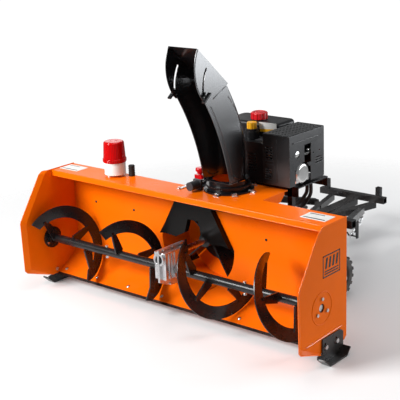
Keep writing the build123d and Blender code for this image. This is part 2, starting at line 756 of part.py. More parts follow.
def turntable():
    """Ring that turns on the collar: plain flange under the clips, toothed ring above, upstand inside."""
    z0 = TOP_Z + 0.4
    inner = COLLAR_R + 0.5
    ring = pipe(RING_R, inner, (CHUTE_X, CHUTE_Y, z0), (CHUTE_X, CHUTE_Y, z0 + 6))
    ring += pipe(inner + 4, inner, (CHUTE_X, CHUTE_Y, z0), (CHUTE_X, CHUTE_Y, COLLAR_TOP + 2))
    gear = pipe(GEAR_R, inner, (CHUTE_X, CHUTE_Y, GEAR_Z), (CHUTE_X, CHUTE_Y, GEAR_Z + 7))
    for tooth in range(GEAR_TEETH):
        angle = 2 * pi * (tooth + 0.5) / GEAR_TEETH
        x, y = CHUTE_X + (GEAR_R + 0.5) * cos(angle), CHUTE_Y + (GEAR_R + 0.5) * sin(angle)
        gear -= rod(3.2, (x, y, GEAR_Z - 1), (x, y, GEAR_Z + 8))
    return ring + gear


CLIP_ANGLES = (-78, -40, 8, 60, 115, 150)


def turntable_clips():
    """Angle clips on the deck that hold the turntable's flange down."""
    clips = []
    for angle in CLIP_ANGLES:
        riser = block(RING_R + 2.5, RING_R + 6, -11, 11, TOP_Z, TOP_Z + 10.5)
        shelf = block(RING_R - 8, RING_R + 6, -11, 11, TOP_Z + 7.5, TOP_Z + 10.5)
        foot = block(RING_R + 2.5, RING_R + 20, -11, 11, TOP_Z, TOP_Z + 3)
        clip = riser + shelf + foot
        clips.append(Pos(CHUTE_X, CHUTE_Y, 0) * Rot(0, 0, angle) * clip)
    return clips


def strap():
    """Flat strap on the top plate beside the turntable, with a bolt at each end."""
    pieces = [block(-50, -32, -68, -2, TOP_Z, TOP_Z + 3)]
    for y in (-60, -10):
        pieces.append(hex_head(11, 6, (-41, y, TOP_Z + 3), (0, 0, 1)))
    return pieces


def clip_bolts():
    pieces = []
    for angle in CLIP_ANGLES:
        head = bolt(11, 6, (RING_R + 14, 0, TOP_Z + 3), (0, 0, 1), 3, 3)
        pieces.append(Pos(CHUTE_X, CHUTE_Y, 0) * Rot(0, 0, angle) * head)
    return pieces


# The channel's sections going up: level, how far back it reaches, and the radius of its back corners.
# It starts round, in line with the collar, and ends as a plain box at the hinge.
CHUTE_SECTIONS = (
    (COLLAR_TOP + 2, 125.0, 70.0),
    (640.0, 122.0, 63.0),
    (720.0, 110.0, 52.0),
    (800.0, 82.0, 38.0),
    (880.0, 38.0, 23.0),
    (940.0, -2.0, 11.0),
    (980.0, -29.0, 5.0),
)
CHUTE_FRONT = ((-25.0, 554.0), (-84.0, 760.0), (-196.0, 966.0))
WALL_TOP_Z = 970.0


def channel_loft(inset):
    """Solid whose sections follow CHUTE_SECTIONS, inset from the channel's outside."""
    half = CHUTE_HALF_WIDTH - inset
    sections = []
    for z, reach, corner in CHUTE_SECTIONS:
        back = reach - inset
        radius = corner - inset
        bend = radius * (1 - cos(pi / 4))
        front = -320.0
        wire = [
            Line((-half, front), (-half, back - radius)),
            ThreePointArc((-half, back - radius), (-half + bend, back - bend), (-half + radius, back)),
            Line((-half + radius, back), (half - radius, back)),
            ThreePointArc((half - radius, back), (half - bend, back - bend), (half, back - radius)),
            Line((half, back - radius), (half, front)),
            Line((half, front), (-half, front)),
        ]
        sections.append(Pos(CHUTE_X, 0, z) * make_face(wire))
    return loft(sections)


def channel_side(raised):
    """Region behind the channel's curved front edge and below its top, seen from the side."""
    start, middle, end = CHUTE_FRONT
    low = start[1] - 20
    front_top = (end[0], WALL_TOP_Z - 2 + raised)
    back_top = (HINGE_Y + 2, WALL_TOP_Z + 2 + raised)
    outline = [
        ThreePointArc(start, middle, end),
        Line(end, front_top),
        Line(front_top, back_top),
        Line(back_top, (200, back_top[1])),
        Line((200, back_top[1]), (200, low)),
        Line((200, low), (start[0], low)),
        Line((start[0], low), start),
    ]
    return across(make_face(outline), CHUTE_X - 120, CHUTE_X + 120)


KNUCKLE_R = 5.0
KNUCKLE_PITCH = 27.0


def knuckles(first):
    """Every other knuckle of the hood's hinge, starting from the given one of five."""
    tubes = Part()
    for number in range(first, 5, 2):
        x = CHUTE_X + KNUCKLE_PITCH * (number - 2.5)
        tubes += rod(KNUCKLE_R, (x + 0.2, HINGE_Y, HINGE_Z), (x + KNUCKLE_PITCH - 0.2, HINGE_Y, HINGE_Z))
    return tubes


def hinge_bore(radius):
    reach = CHUTE_HALF_WIDTH + 20
    return rod(radius, (CHUTE_X - reach, HINGE_Y, HINGE_Z), (CHUTE_X + reach, HINGE_Y, HINGE_Z))


def chute_channel():
    """Curved channel, open to the front, with a foot flange that sits on the turntable."""
    channel = channel_loft(0) - channel_loft(CHUTE_T)
    channel = channel & channel_side(0)
    hem = channel_loft(-1.2) - channel_loft(0.5)
    hem = hem & channel_side(0)
    hem -= Pos(0, 13, 0) * channel_side(20)
    hem &= block(CHUTE_X - 90, CHUTE_X + 90, -300, 200, COLLAR_TOP + 20, 925)
    channel += hem
    for number in range(0, 5, 2):
        x = CHUTE_X + KNUCKLE_PITCH * (number - 2.5)
        channel += block(x + 0.2, x + KNUCKLE_PITCH - 0.2, HINGE_Y - 2, HINGE_Y + 0.8, HINGE_Z - 12, HINGE_Z)
    channel += knuckles(0)
    seat_z = COLLAR_TOP + 2
    seat = [(-CHUTE_HALF_WIDTH - 5, -84), (CHUTE_HALF_WIDTH + 5, -84), (CHUTE_HALF_WIDTH + 5, 46)]
    seat += [(46, 84), (-46, 84), (-CHUTE_HALF_WIDTH - 5, 46)]
    seat = [(CHUTE_X + x, CHUTE_Y + y) for x, y in seat]
    foot = prism_z(seat, seat_z, seat_z + 3)
    foot -= rod(CHUTE_HALF_WIDTH - 3, (CHUTE_X, CHUTE_Y, seat_z - 5), (CHUTE_X, CHUTE_Y, seat_z + 10))
    channel += foot
    channel -= hinge_bore(2.5)
    y, z = stud_centre()
    channel -= rod(4.1, (CHUTE_X - 100, y, z), (CHUTE_X + 100, y, z))
    return max(channel.solids(), key=lambda one: one.volume)


def stud_centre():
    angle = radians(191)
    return HINGE_Y + SLOT_R * cos(angle), HINGE_Z + SLOT_R * sin(angle)


HOOD_GAP = 1.8
HOOD_T = 2.5
HOOD_TIP = (-206.0, 1144.0)


def hood_cheek():
    """Side plate of the hood in (y, z), with a bowed front edge."""
    bow = (-229.0, 1052.0)
    low_front = (-186.0, 938.0)
    seam_front = (-176.0, 929.0)
    seam_low = (-131.0, 929.0)
    seam_high = (HINGE_Y - 5, HINGE_Z - 2)
    outline = [
        Line(seam_high, (HINGE_Y + 4, HINGE_Z + 1)),
        Line((HINGE_Y + 4, HINGE_Z + 1), HOOD_TIP),
        ThreePointArc(HOOD_TIP, bow, low_front),
        Line(low_front, seam_front),
        Line(seam_front, seam_low),
        Line(seam_low, seam_high),
    ]
    return make_face(outline)


def hood_slot():
    """Curved slot about the hinge, as the ring sector that the stud sweeps."""
    half = 5.2
    first, last = 148.0, 191.5
    outer, inner = SLOT_R + half, SLOT_R - half
    middle = (first + last) / 2

    def at(radius, degree):
        return HINGE_Y + radius * cos(radians(degree)), HINGE_Z + radius * sin(radians(degree))

    sector = make_face([
        ThreePointArc(at(outer, first), at(outer, middle), at(outer, last)),
        Line(at(outer, last), at(inner, last)),
        ThreePointArc(at(inner, last), at(inner, middle), at(inner, first)),
        Line(at(inner, first), at(outer, first)),
    ])
    for degree in (first, last):
        sector += Pos(*at(SLOT_R, degree)) * Circle(half)
    return sector


def deflector_hood():
    """Hood hinged on the channel's top: two cheeks with curved slots and a sloping top plate."""
    inner = CHUTE_HALF_WIDTH + HOOD_GAP
    outer = inner + HOOD_T
    cheek = hood_cheek() - hood_slot()
    hood = across(cheek, CHUTE_X + inner, CHUTE_X + outer)
    hood += across(cheek, CHUTE_X - outer, CHUTE_X - inner)
    start, end = Vector(HINGE_Y + 4, HINGE_Z + 1), Vector(*HOOD_TIP)
    along_roof = (end - start).normalized()
    inward = Vector(-along_roof.Y, along_roof.X)
    start = start + along_roof * 11
    top = [start, end, end + inward * HOOD_T, start + inward * HOOD_T]
    roof = prism_x([(p.X, p.Y) for p in top], CHUTE_X - outer, CHUTE_X + outer)
    hood += roof
    for number in range(1, 5, 2):
        x = CHUTE_X + KNUCKLE_PITCH * (number - 2.5)
        root = start - along_roof * 12
        tab = [root, start + along_roof, start + along_roof + inward * HOOD_T, root + inward * HOOD_T]
        hood += prism_x([(p.X, p.Y) for p in tab], x + 0.2, x + KNUCKLE_PITCH - 0.2)
    hood += knuckles(1)
    hood -= hinge_bore(2.5 + RUNNING_FIT)
    return max(hood.solids(), key=lambda one: one.volume)


def hinge_pin():
    """Pin through the hood's hinge, held by the channel's knuckles."""
    reach = KNUCKLE_PITCH * 2.5
    pin = rod(2.5, (CHUTE_X - reach, HINGE_Y, HINGE_Z), (CHUTE_X + reach, HINGE_Y, HINGE_Z))
    for side in (-1, 1):
        x = CHUTE_X + side * reach
        pin += rod(3.4, (x, HINGE_Y, HINGE_Z), (x + side * 2.5, HINGE_Y, HINGE_Z))
    return pin


def wing_knob(side):
    """Plastic wing knob on the stud that clamps the hood."""
    y, z = stud_centre()
    x0 = CHUTE_X + side * (CHUTE_HALF_WIDTH - CHUTE_T - 4)
    x1 = CHUTE_X + side * (CHUTE_HALF_WIDTH + HOOD_GAP + HOOD_T + 0.6)
    knob = rod(3.9, (x0, y, z), (x1 + side, y, z))
    knob += rod(11, (x1, y, z), (x1 + side * 14, y, z))
    near, far = sorted((x1 + side * 6, x1 + side * 22))
    wing = block(near, far, -26, 26, -3.5, 3.5)
    knob += Pos(0, y, z) * Rot(38, 0, 0) * wing
    return knob


DRIVE_WORM_R = 8.0
WORM_X = CHUTE_X - GEAR_R - DRIVE_WORM_R - 0.6
WORM_Y = CHUTE_Y
WORM_Z = GEAR_Z + 3.5


def chute_worm():
    """Small worm beside the turntable's teeth, on the gearmotor's shaft."""
    worm = rod(4, (WORM_X, WORM_Y - 84, WORM_Z), (WORM_X, WORM_Y + 33, WORM_Z))
    for turn in range(6):
        y = WORM_Y - 18 + 6 * turn
        worm += rod(DRIVE_WORM_R, (WORM_X, y, WORM_Z), (WORM_X, y + 3, WORM_Z))
    return worm


def chute_motor():
    """Gearmotor that turns the chute."""
    y = WORM_Y - 72
    body = rod(19, (WORM_X, y - 62, WORM_Z), (WORM_X, y - 2, WORM_Z))
    body += block(WORM_X - 21, WORM_X + 21, y - 12, y, TOP_Z + 3.2, TOP_Z + 46)
    return body - rod(4 + RUNNING_FIT, (WORM_X, y - 14, WORM_Z), (WORM_X, y + 10, WORM_Z))


def chute_drive_bracket():
    """Bracket under the gearmotor, with an ear round the far end of the worm's shaft."""
    x0 = WORM_X - 30
    foot = block(x0, WORM_X - 5, WORM_Y - 84, WORM_Y + 34, TOP_Z, TOP_Z + 3)
    foot += block(x0, WORM_X + 20, WORM_Y - 84, WORM_Y - 69, TOP_Z, TOP_Z + 3)
    ear = block(x0, WORM_X + 8, WORM_Y + 27, WORM_Y + 32, TOP_Z + 14, TOP_Z + 36)
    ear += block(x0, WORM_X - 6, WORM_Y + 27, WORM_Y + 32, TOP_Z + 2, TOP_Z + 15)
    fence = block(x0, x0 + 3, WORM_Y - 84, WORM_Y + 32, TOP_Z + 2, TOP_Z + 20)
    bracket = foot + ear + fence
    return bracket - rod(4 + RUNNING_FIT, (WORM_X, WORM_Y + 20, WORM_Z), (WORM_X, WORM_Y + 40, WORM_Z))


# ---------------------------------------------------------------- beacon and small items on the top plate

BEACON_X, BEACON_Y = -430.0, -52.0


def beacon_base():
    z = TOP_Z
    feet = Part()
    for angle in (20, 140, 260):
        fx, fy = BEACON_X + 34 * cos(radians(angle)), BEACON_Y + 34 * sin(radians(angle))
        feet += rod(7, (fx, fy, z), (fx, fy, z + 9))
    body = rod(48, (BEACON_X, BEACON_Y, z + 8), (BEACON_X, BEACON_Y, z + 66))
    body = fillet(body.edges().filter_by(GeomType.CIRCLE).sort_by(Axis.Z)[0], 5)
    base = feet + body
    return base + rod(5, (BEACON_X, BEACON_Y, z + 60), (BEACON_X, BEACON_Y, z + 74))


def beacon_lens():
    z = TOP_Z + 66.3
    foot = Plane(origin=(BEACON_X, BEACON_Y, z))
    head = Plane(origin=(BEACON_X, BEACON_Y, z + 94))
    outer = loft([foot * Circle(51.5), head * Circle(46)])
    outer = fillet(outer.edges().filter_by(GeomType.CIRCLE).sort_by(Axis.Z)[-1], 9)
    hollow_foot = Plane(origin=(BEACON_X, BEACON_Y, z - 1))
    hollow_head = Plane(origin=(BEACON_X, BEACON_Y, z + 90))
    return outer - loft([hollow_foot * Circle(48.5), hollow_head * Circle(43)])


def beacon_rotor():
    """Reflector and lamp that turn on the base's spindle."""
    z = TOP_Z + 70
    plate = pipe(22, 5 + RUNNING_FIT, (BEACON_X, BEACON_Y, z), (BEACON_X, BEACON_Y, z + 4))
    reflector = block(BEACON_X - 20, BEACON_X + 20, BEACON_Y + 8, BEACON_Y + 11, z + 2, z + 62)
    shelf = block(BEACON_X - 10, BEACON_X + 10, BEACON_Y - 8, BEACON_Y + 9, z + 12, z + 16)
    lamp = rod(7, (BEACON_X, BEACON_Y, z + 15), (BEACON_X, BEACON_Y, z + 44))
    return plate + reflector + shelf + lamp


def gland_post():
    """Ribbed rubber gland where the beacon's wiring leaves the housing."""
    x, y = -362.0, -16.0
    post = rod(13, (x, y, TOP_Z), (x, y, TOP_Z + 50))
    for rib in range(5):
        z = TOP_Z + 4 + 9.5 * rib
        post += rod(14.6, (x, y, z), (x, y, z + 5))
    return post


# ---------------------------------------------------------------- engine

def engine_bed():
    """Folded plate under the engine, with legs down to the carrier frame."""
    bed = block(-60, 384, 216, 440, ENGINE_FLOOR_Z - 6, ENGINE_FLOOR_Z)
    bed += block(-60, 384, 216, 220, ENGINE_FLOOR_Z - 44, ENGINE_FLOOR_Z - 1)
    bed += block(-60, 384, 436, 440, ENGINE_FLOOR_Z - 44, ENGINE_FLOOR_Z - 1)
    return bed


def crankcase():
    case = block(-2, 205, 224, 392, ENGINE_FLOOR_Z, 690)
    case = fillet(case.edges().filter_by(Axis.Y), 22)
    case += block(-30, 240, 232, 385, ENGINE_FLOOR_Z, ENGINE_FLOOR_Z + 14)
    front = (ENGINE_X, 214, ENGINE_SHAFT_Z)
    case += rod(52, front, (ENGINE_X, 230, ENGINE_SHAFT_Z))
    bore = SHAFT_R + RUNNING_FIT
    case -= rod(bore, (ENGINE_X, 200, ENGINE_SHAFT_Z), (ENGINE_X, 420, ENGINE_SHAFT_Z))
    case -= rod(33.4, (*FILLER, 663.8), (*FILLER, 720))
    return case


def engine_cylinder():
    """Finned cylinder and head reaching sideways under the muffler guard."""
    fins = block(205.2, 236, 250, 360, 560, 676)
    for fin in range(6):
        x = 212 + 8.2 * fin
        if x + 3 < 242:
            fins += block(x, x + 3, 232, 378, 545, 688)
    return fins


def crankshaft():
    shaft = rod(SHAFT_R, (ENGINE_X, BELT_Y - 9, ENGINE_SHAFT_Z), (ENGINE_X, 412, ENGINE_SHAFT_Z))
    flywheel = rod(78, (ENGINE_X, 398, ENGINE_SHAFT_Z), (ENGINE_X, 412, ENGINE_SHAFT_Z))
    return shaft + flywheel


RECOIL_Y1 = 462.0


def recoil_cover():
    """Round fan cover over the flywheel, with vents round its face."""
    x, z = ENGINE_X, ENGINE_SHAFT_Z
    cover = rod(88, (x, 393, z), (x, RECOIL_Y1, z))
    cover = fillet(cover.edges().filter_by(GeomType.CIRCLE).sort_by(Axis.Y)[-1], 16)
    cover -= rod(83, (x, 392, z), (x, RECOIL_Y1 - 5, z))
    slots = 16
    for slot in range(slots):
        turn = Pos(x, 0, z) * Rot(0, 360 / slots * slot, 0)
        cover -= turn * block(34, 66, RECOIL_Y1 - 8, RECOIL_Y1 + 2, -5, 5)
    handle_x = x + 52
    cover -= rod(8, (handle_x, RECOIL_Y1 - 20, z + 52), (handle_x, RECOIL_Y1 + 5, z + 52))
    return cover


def pull_handle():
    """Starter grip standing in its guide on the fan cover."""
    x, z = ENGINE_X + 52, ENGINE_SHAFT_Z + 52
    stem = rod(6, (x, RECOIL_Y1 - 12, z), (x, RECOIL_Y1 + 8, z))
    grip = block(x - 42, x + 42, RECOIL_Y1 + 4, RECOIL_Y1 + 24, z - 9, z + 9)
    grip = fillet(grip.edges().filter_by(Axis.X), 7)
    return stem + grip


TANK_CAP = (93.0, 338.0)
TANK_TOP = 750.0


def fuel_tank():
    tank = block(-62, 226, 282, 436, 692, TANK_TOP)
    tank = fillet(tank.edges().filter_by(Axis.Z), 30)
    tank = fillet(tank.edges().group_by(Axis.Z)[-1], 14)
    x, y = TANK_CAP
    tank += rod(29, (x, y, TANK_TOP - 1), (x, y, TANK_TOP + 14))
    inside = block(-56, 220, 288, 430, 698, TANK_TOP - 6)
    tank -= fillet(inside.edges().filter_by(Axis.Z), 24)
    tank -= rod(23, (x, y, TANK_TOP - 10), (x, y, TANK_TOP + 15))
    return tank


def fuel_cap():
    x, y = TANK_CAP
    z0, z1 = TANK_TOP + 4, TANK_TOP + 34
    cap = rod(38, (x, y, z0), (x, y, z1))
    cap = fillet(cap.edges().filter_by(GeomType.CIRCLE).sort_by(Axis.Z)[-1], 7)
    cap -= rod(29.6, (x, y, z0 - 1), (x, y, TANK_TOP + 14.6))
    grips = 12
    for grip in range(grips):
        angle = 2 * pi * grip / grips
        grip_x, grip_y = x + 40 * cos(angle), y + 40 * sin(angle)
        cap -= rod(4.2, (grip_x, grip_y, z0 - 1), (grip_x, grip_y, z1 + 1))
    return cap


FILLER = (127.0, 240.0)
FILLER_TOP = 738.0


def oil_filler():
    """Tall filler sleeve on the crankcase."""
    x, y = FILLER
    low = Plane(origin=(x, y, 664))
    top = Plane(origin=(x, y, FILLER_TOP - 16))
    sleeve = loft([low * Circle(33), top * Circle(30)])
    sleeve += rod(27, (x, y, FILLER_TOP - 17), (x, y, FILLER_TOP - 6))
    sleeve += rod(15, (x, y, FILLER_TOP - 8), (x, y, FILLER_TOP + 2))
    return sleeve - rod(10, (x, y, 650), (x, y, FILLER_TOP + 5))


def oil_cap():
    x, y = FILLER
    cap = rod(21.5, (x, y, FILLER_TOP - 5.4), (x, y, FILLER_TOP + 22))
    cap -= rod(15.5, (x, y, FILLER_TOP - 7), (x, y, FILLER_TOP + 2.6))
    grips = 8
    for grip in range(grips):
        angle = 2 * pi * grip / grips
        gx, gy = x + 23 * cos(angle), y + 23 * sin(angle)
        cap -= rod(4, (gx, gy, FILLER_TOP - 7), (gx, gy, FILLER_TOP + 24))
    return cap


def muffler():
    can = rod(50, (304, 190, 640), (304, 370, 640))
    can += rod(46, (304, 182, 640), (304, 378, 640))
    can += rod(15, (240.2, 300, 625), (262, 300, 625))
    return can


def muffler_guard():
    """Box guard round the muffler: open below, with vents, holes and an arch for the outlet."""
    x0, x1, y0, y1, z0, z1 = GUARD_X0, GUARD_X1, GUARD_Y0, GUARD_Y1, GUARD_Z0, GUARD_Z1
    box = block(x0, x1, y0, y1, z0, z1)
    box = chamfer(box.edges().group_by(Axis.Z)[-1], 3)
    box -= block(x0 + 2.5, x1 - 2.5, y0 + 2.5, y1 - 2.5, z0 - 1, z1 - 2.5)
    wall = block(x0 - 1, x0 + 4, y0 + 10, y1 - 10, z0 - 1, z1 - 60)
    box -= wall
    for row in range(7):
        for column in range(9):
            px, py = x0 + 20 + 16 * row, y0 + 24 + 26 * column
            box -= rod(5, (px, py, z1 - 5), (px, py, z1 + 2))
    for row in range(5):
        box -= block(x0 + 14, x0 + 50, y0 - 2, y0 + 4, 636 + 11 * row, 641 + 11 * row)
        box -= block(x0 + 10, x0 + 44, y0 - 2, y0 + 4, 546 + 10 * row, 551 + 10 * row)
    side = x1 - 5
    box -= rod(15, (side, 214, 652), (side + 10, 214, 652))
    box -= block(side, side + 10, 264, 312, 604, 686)
    box -= block(side, side + 10, 196, 310, z0 - 1, 588)
    box -= rod(52, (side, 252, 562), (side + 10, 252, 562))
    box -= rod(4, (side, 331, 639), (side + 10, 331, 639))
    box -= rod(4, (side, 377, 642), (side + 10, 377, 642))
    for row in range(3):
        box -= block(side, side + 10, 346, 396, 590 + 11 * row, 594 + 11 * row)
    return max(box.solids(), key=lambda one: one.volume)


def exhaust_outlet():
    """Bright outlet shell that shows through the guard's arch."""
    shell = rod(46, (356, 250, 566), (388, 250, 566))
    shell = fillet(shell.edges().filter_by(GeomType.CIRCLE).sort_by(Axis.X)[-1], 14)
    shell += block(358, 382, 204, 296, 530, 566)
    shell -= rod(18, (340, 250, 566), (380, 250, 566))
    return shell


def air_box():
    """Carburettor and intake box on the engine's other side, hidden by the chute from the front."""
    box = block(-98, -8, 250, 380, 560, 690)
    box = fillet(box.edges().filter_by(Axis.Z), 14)
    box += rod(16, (-9, 315, 620), (-2.2, 315, 620))
    return box


SWITCH_X, SWITCH_Y = -104.0, 160.0


def switch_box():
    """Box of the engine stop switch, on the deck's left end."""
    box = block(SWITCH_X - 20, SWITCH_X + 20, SWITCH_Y - 22, SWITCH_Y + 14, TOP_Z - 40, TOP_Z + 6)
    box += block(SWITCH_X, 34, SWITCH_Y - 10, SWITCH_Y + 10, TOP_Z - SHEET_T - 3.2, TOP_Z - SHEET_T - 0.2)
    box -= rod(8.6, (SWITCH_X, SWITCH_Y - 6, TOP_Z - 10), (SWITCH_X, SWITCH_Y - 6, TOP_Z + 20))
    return box


def stop_button():
    x, y = SWITCH_X, SWITCH_Y - 6
    stem = rod(8, (x, y, TOP_Z - 4), (x, y, TOP_Z + 16))
    stem += rod(14, (x, y, TOP_Z + 12), (x, y, TOP_Z + 22))
    head = rod(20, (x, y, TOP_Z + 22), (x, y, TOP_Z + 38))
    return stem + fillet(head.edges().filter_by(GeomType.CIRCLE).sort_by(Axis.Z)[-1], 6)


def blank_tag():
    """Plain card wired to the tank's front."""
    return Pos(188, 274, 735) * Rot(8, 0, 3) * Box(88, 1.5, 44)


# ---------------------------------------------------------------- carrier frame

CROSS_Y, CROSS_Z = 470.0, 300.0
TONGUE_Z = 128.0
TONGUE_JOIN_Y = 800.0
ARM_REAR = (138.0, 1118.0, 134.0)
ARM_FRONT = (466.0, CROSS_Y, CROSS_Z - 2)


def push_frame():
    """Welded frame of tubes from the housing's back to the crossbar that the vehicle carries."""
    side = FRAME_TUBE
    left = (-CROSSBAR_HALF, CROSSBAR_Y, CROSSBAR_Z)
    right = (CROSSBAR_HALF, CROSSBAR_Y, CROSSBAR_Z)
    tubes = [square_tube(left, right, side)]
    top = CROSSBAR_Z + side / 2
    for x in (-157, 157):
        tubes.append(square_tube((x, CROSSBAR_Y, top), (x, CROSSBAR_Y, top + 50), 25))
    tubes.append(box_tube((0, CROSS_Y - 16, TONGUE_Z), (0, CROSSBAR_Y + 2, TONGUE_Z), 62, side))
    for sign in (-1, 1):
        brace_rear = (sign * 130, CROSSBAR_Y + 4, TONGUE_Z)
        brace_front = (sign * 16, TONGUE_JOIN_Y, TONGUE_Z)
        tubes.append(box_tube(brace_rear, brace_front, 28, side))
        arm_rear = (sign * ARM_REAR[0], ARM_REAR[1], ARM_REAR[2])
        arm_front = (sign * ARM_FRONT[0], ARM_FRONT[1], ARM_FRONT[2])
        tubes.append(square_tube(arm_rear, arm_front, side))
        tubes.append(square_tube((sign * 70, 1040, TONGUE_Z), arm_rear, 26))
        beam_end = (sign * 300, CROSS_Y - 10, CROSS_Z)
        brace_end = (sign * 300, CROSS_Y - 8, CROSS_Z + 12)
        tubes.append(square_tube((sign * 300, 0.3, CROSS_Z), beam_end, 36))
        tubes.append(square_tube((sign * 300, 4.6, 440), brace_end, 30))
    tubes.append(square_tube((-500, CROSS_Y, CROSS_Z), (500, CROSS_Y, CROSS_Z), 36))
    tubes.append(square_tube((0, CROSS_Y, TONGUE_Z + 10), (0, CROSS_Y, CROSS_Z - 10), 40))
    tubes.append(block(185, 189, 1030, 1040, 116, 142))
    frame = tubes[0]
    for tube in tubes[1:]:
        frame += tube
    return frame


def engine_legs():
    """Uprights between the carrier's cross tube and the engine bed."""
    legs = []
    for x in (-40, 200):
        legs.append(square_tube((x, 424, CROSS_Z + 18.2), (x, 424, ENGINE_FLOOR_Z - 6.2), 24))
    for x in (-40, 340):
        legs.append(square_tube((x, 228, 330), (x, 228, ENGINE_FLOOR_Z - 6.2), 24))
    return legs


# ---------------------------------------------------------------- wheels and chain

def tyre():
    """Knobbly tyre turned about X, centred on the origin."""
    section = RectangleRounded(50, 46, 16)
    ring = revolve(Plane.XY * (Pos(0, WHEEL_R - 23 - 4) * section), Axis.X)
    blocks = 18
    for number in range(blocks):
        knob = block(-22, 22, -7, 7, WHEEL_R - 9, WHEEL_R - 0.2)
        knob = knob & rod(WHEEL_R - 0.2, (-30, 0, 0), (30, 0, 0))
        ring += Rot(360 / blocks * number, 0, 0) * knob
    return ring


def rim():
    """Wheel centre on the axle, inside the tyre."""
    disc = rod(50.6, (-19, 0, 0), (19, 0, 0))
    disc -= rod(42, (-20, 0, 0), (-5, 0, 0))
    disc -= rod(42, (5, 0, 0), (20, 0, 0))
    disc += rod(18, (-29, 0, 0), (29, 0, 0))
    return disc - rod(8 + RUNNING_FIT, (-40, 0, 0), (40, 0, 0))


def fork():
    """Fork and post that carry the wheel, with the axle bolt's eyes."""
    legs = Part()
    for sign in (-1, 1):
        legs += block(sign * 33 - 3, sign * 33 + 3, -18, 18, -18, WHEEL_R + 16)
    crown = block(-36, 36, -18, 18, WHEEL_R + 10, WHEEL_R + 16)
    post = square_tube((0, 0, WHEEL_R + 16), (0, 0, CROSS_Z - WHEEL_Z + 40), 28)
    plate = block(-17, 17, 14, CROSS_Y - WHEEL_Y - 18.2, CROSS_Z - WHEEL_Z - 16, CROSS_Z - WHEEL_Z + 16)
    return legs + crown + post + plate - rod(8.1, (-50, 0, 0), (50, 0, 0))


def axle():
    pin = rod(8, (-44, 0, 0), (44, 0, 0))
    for sign in (-1, 1):
        pin += hex_head(22, 8, (sign * 36.2, 0, 0), (sign, 0, 0))
    return pin


def at_wheel(shape, sign):
    return Pos(sign * WHEEL_X, WHEEL_Y, WHEEL_Z) * shape


def chain_link(centre, direction, turn):
    """Oval link whose long axis follows the chain."""
    straight = 17.0
    bend = 8.0
    wire = 3.0
    half = straight / 2
    path = Wire([
        Edge.make_line((-bend, -half, 0), (-bend, half, 0)),
        Edge.make_three_point_arc((-bend, half, 0), (0, half + bend, 0), (bend, half, 0)),
        Edge.make_line((bend, half, 0), (bend, -half, 0)),
        Edge.make_three_point_arc((bend, -half, 0), (0, -half - bend, 0), (-bend, -half, 0)),
    ])
    section = Plane(origin=(-bend, 0, 0), z_dir=(0, 1, 0)) * Circle(wire)
    upright = Rot(0, turn, 0) * sweep(section, path=path)
    heading = Plane(origin=centre, z_dir=Vector(*direction).cross(Vector(1, 0, 0)), x_dir=(1, 0, 0))
    return heading.location * upright


CHAIN_TOP = (184.0, 1042.0, 127.0)
CHAIN_FOOT = (232.0, 874.0, 84.0)


def chain():
    """Short safety chain between the right arm's underside and the hook."""
    links = []
    count = 8
    start, end = Vector(*CHAIN_TOP), Vector(*CHAIN_FOOT)
    sag = 10.0
    points = []
    for number in range(count + 1):
        share = number / count
        drop = 4 * sag * share * (1 - share)
        points.append(start + (end - start) * share - Vector(0, 0, drop))
    for number in range(count):
        first, last = points[number], points[number + 1]
        centre = (first + last) * 0.5
        links.append(chain_link(tuple(centre), tuple(last - first), 90 * (number % 2)))
    return links


def hook_lug():
    """Flat lug hanging from the right arm, with the finger that the chain hooks on."""
    lug = prism_x([(852, 183.4), (884, 175.3), (884, 76), (868, 76)], 262, 268)
    finger = rod(3.5, (264, 876.4, 84.2), (214, 876.4, 84.2))
    finger += rod(3.5, (216, 876.4, 84.2), (204, 880, 96))
    return lug + finger


def hose(points, radius):
    """A tube along straight runs joined by tangent arcs."""
    radii = []
    for before, corner, after in zip(points, points[1:], points[2:]):
        first = Vector(*corner) - Vector(*before)
        second = Vector(*after) - Vector(*corner)
        turn = radians(first.get_angle(second))
        radii.append(0.45 * min(first.length, second.length) / (sin(turn / 2) / cos(turn / 2)))
    path = FilletPolyline(*points, radius=radii)
    start = Vector(*points[1]) - Vector(*points[0])
    section = Plane(origin=points[0], z_dir=start) * Circle(radius)
    return sweep(section, path=path)


HOSE_ROUTES = (
    ((350, 330, 503), (350, 332, 460), (306, 346, 404), (256, 376, 372), (246, 440, 350)),
    ((370, 330, 503), (370, 332, 456), (326, 352, 398), (274, 388, 362), (266, 444, 346)),
)


def hoses():
    return [hose(route, 8) for route in HOSE_ROUTES]


# ---------------------------------------------------------------- write every node

def both(shape):
    """A piece and its mirror image on the other side."""
    return [shape, mirrored(shape)]


def housing_bolts():
    paired = shoe_bolts() + bearing_bolts()
    return scraper_bolts() + case_bolts() + paired + [mirrored(one) for one in paired]


def wheel(sign):
    return [at_wheel(tyre(), sign), at_wheel(rim(), sign)]


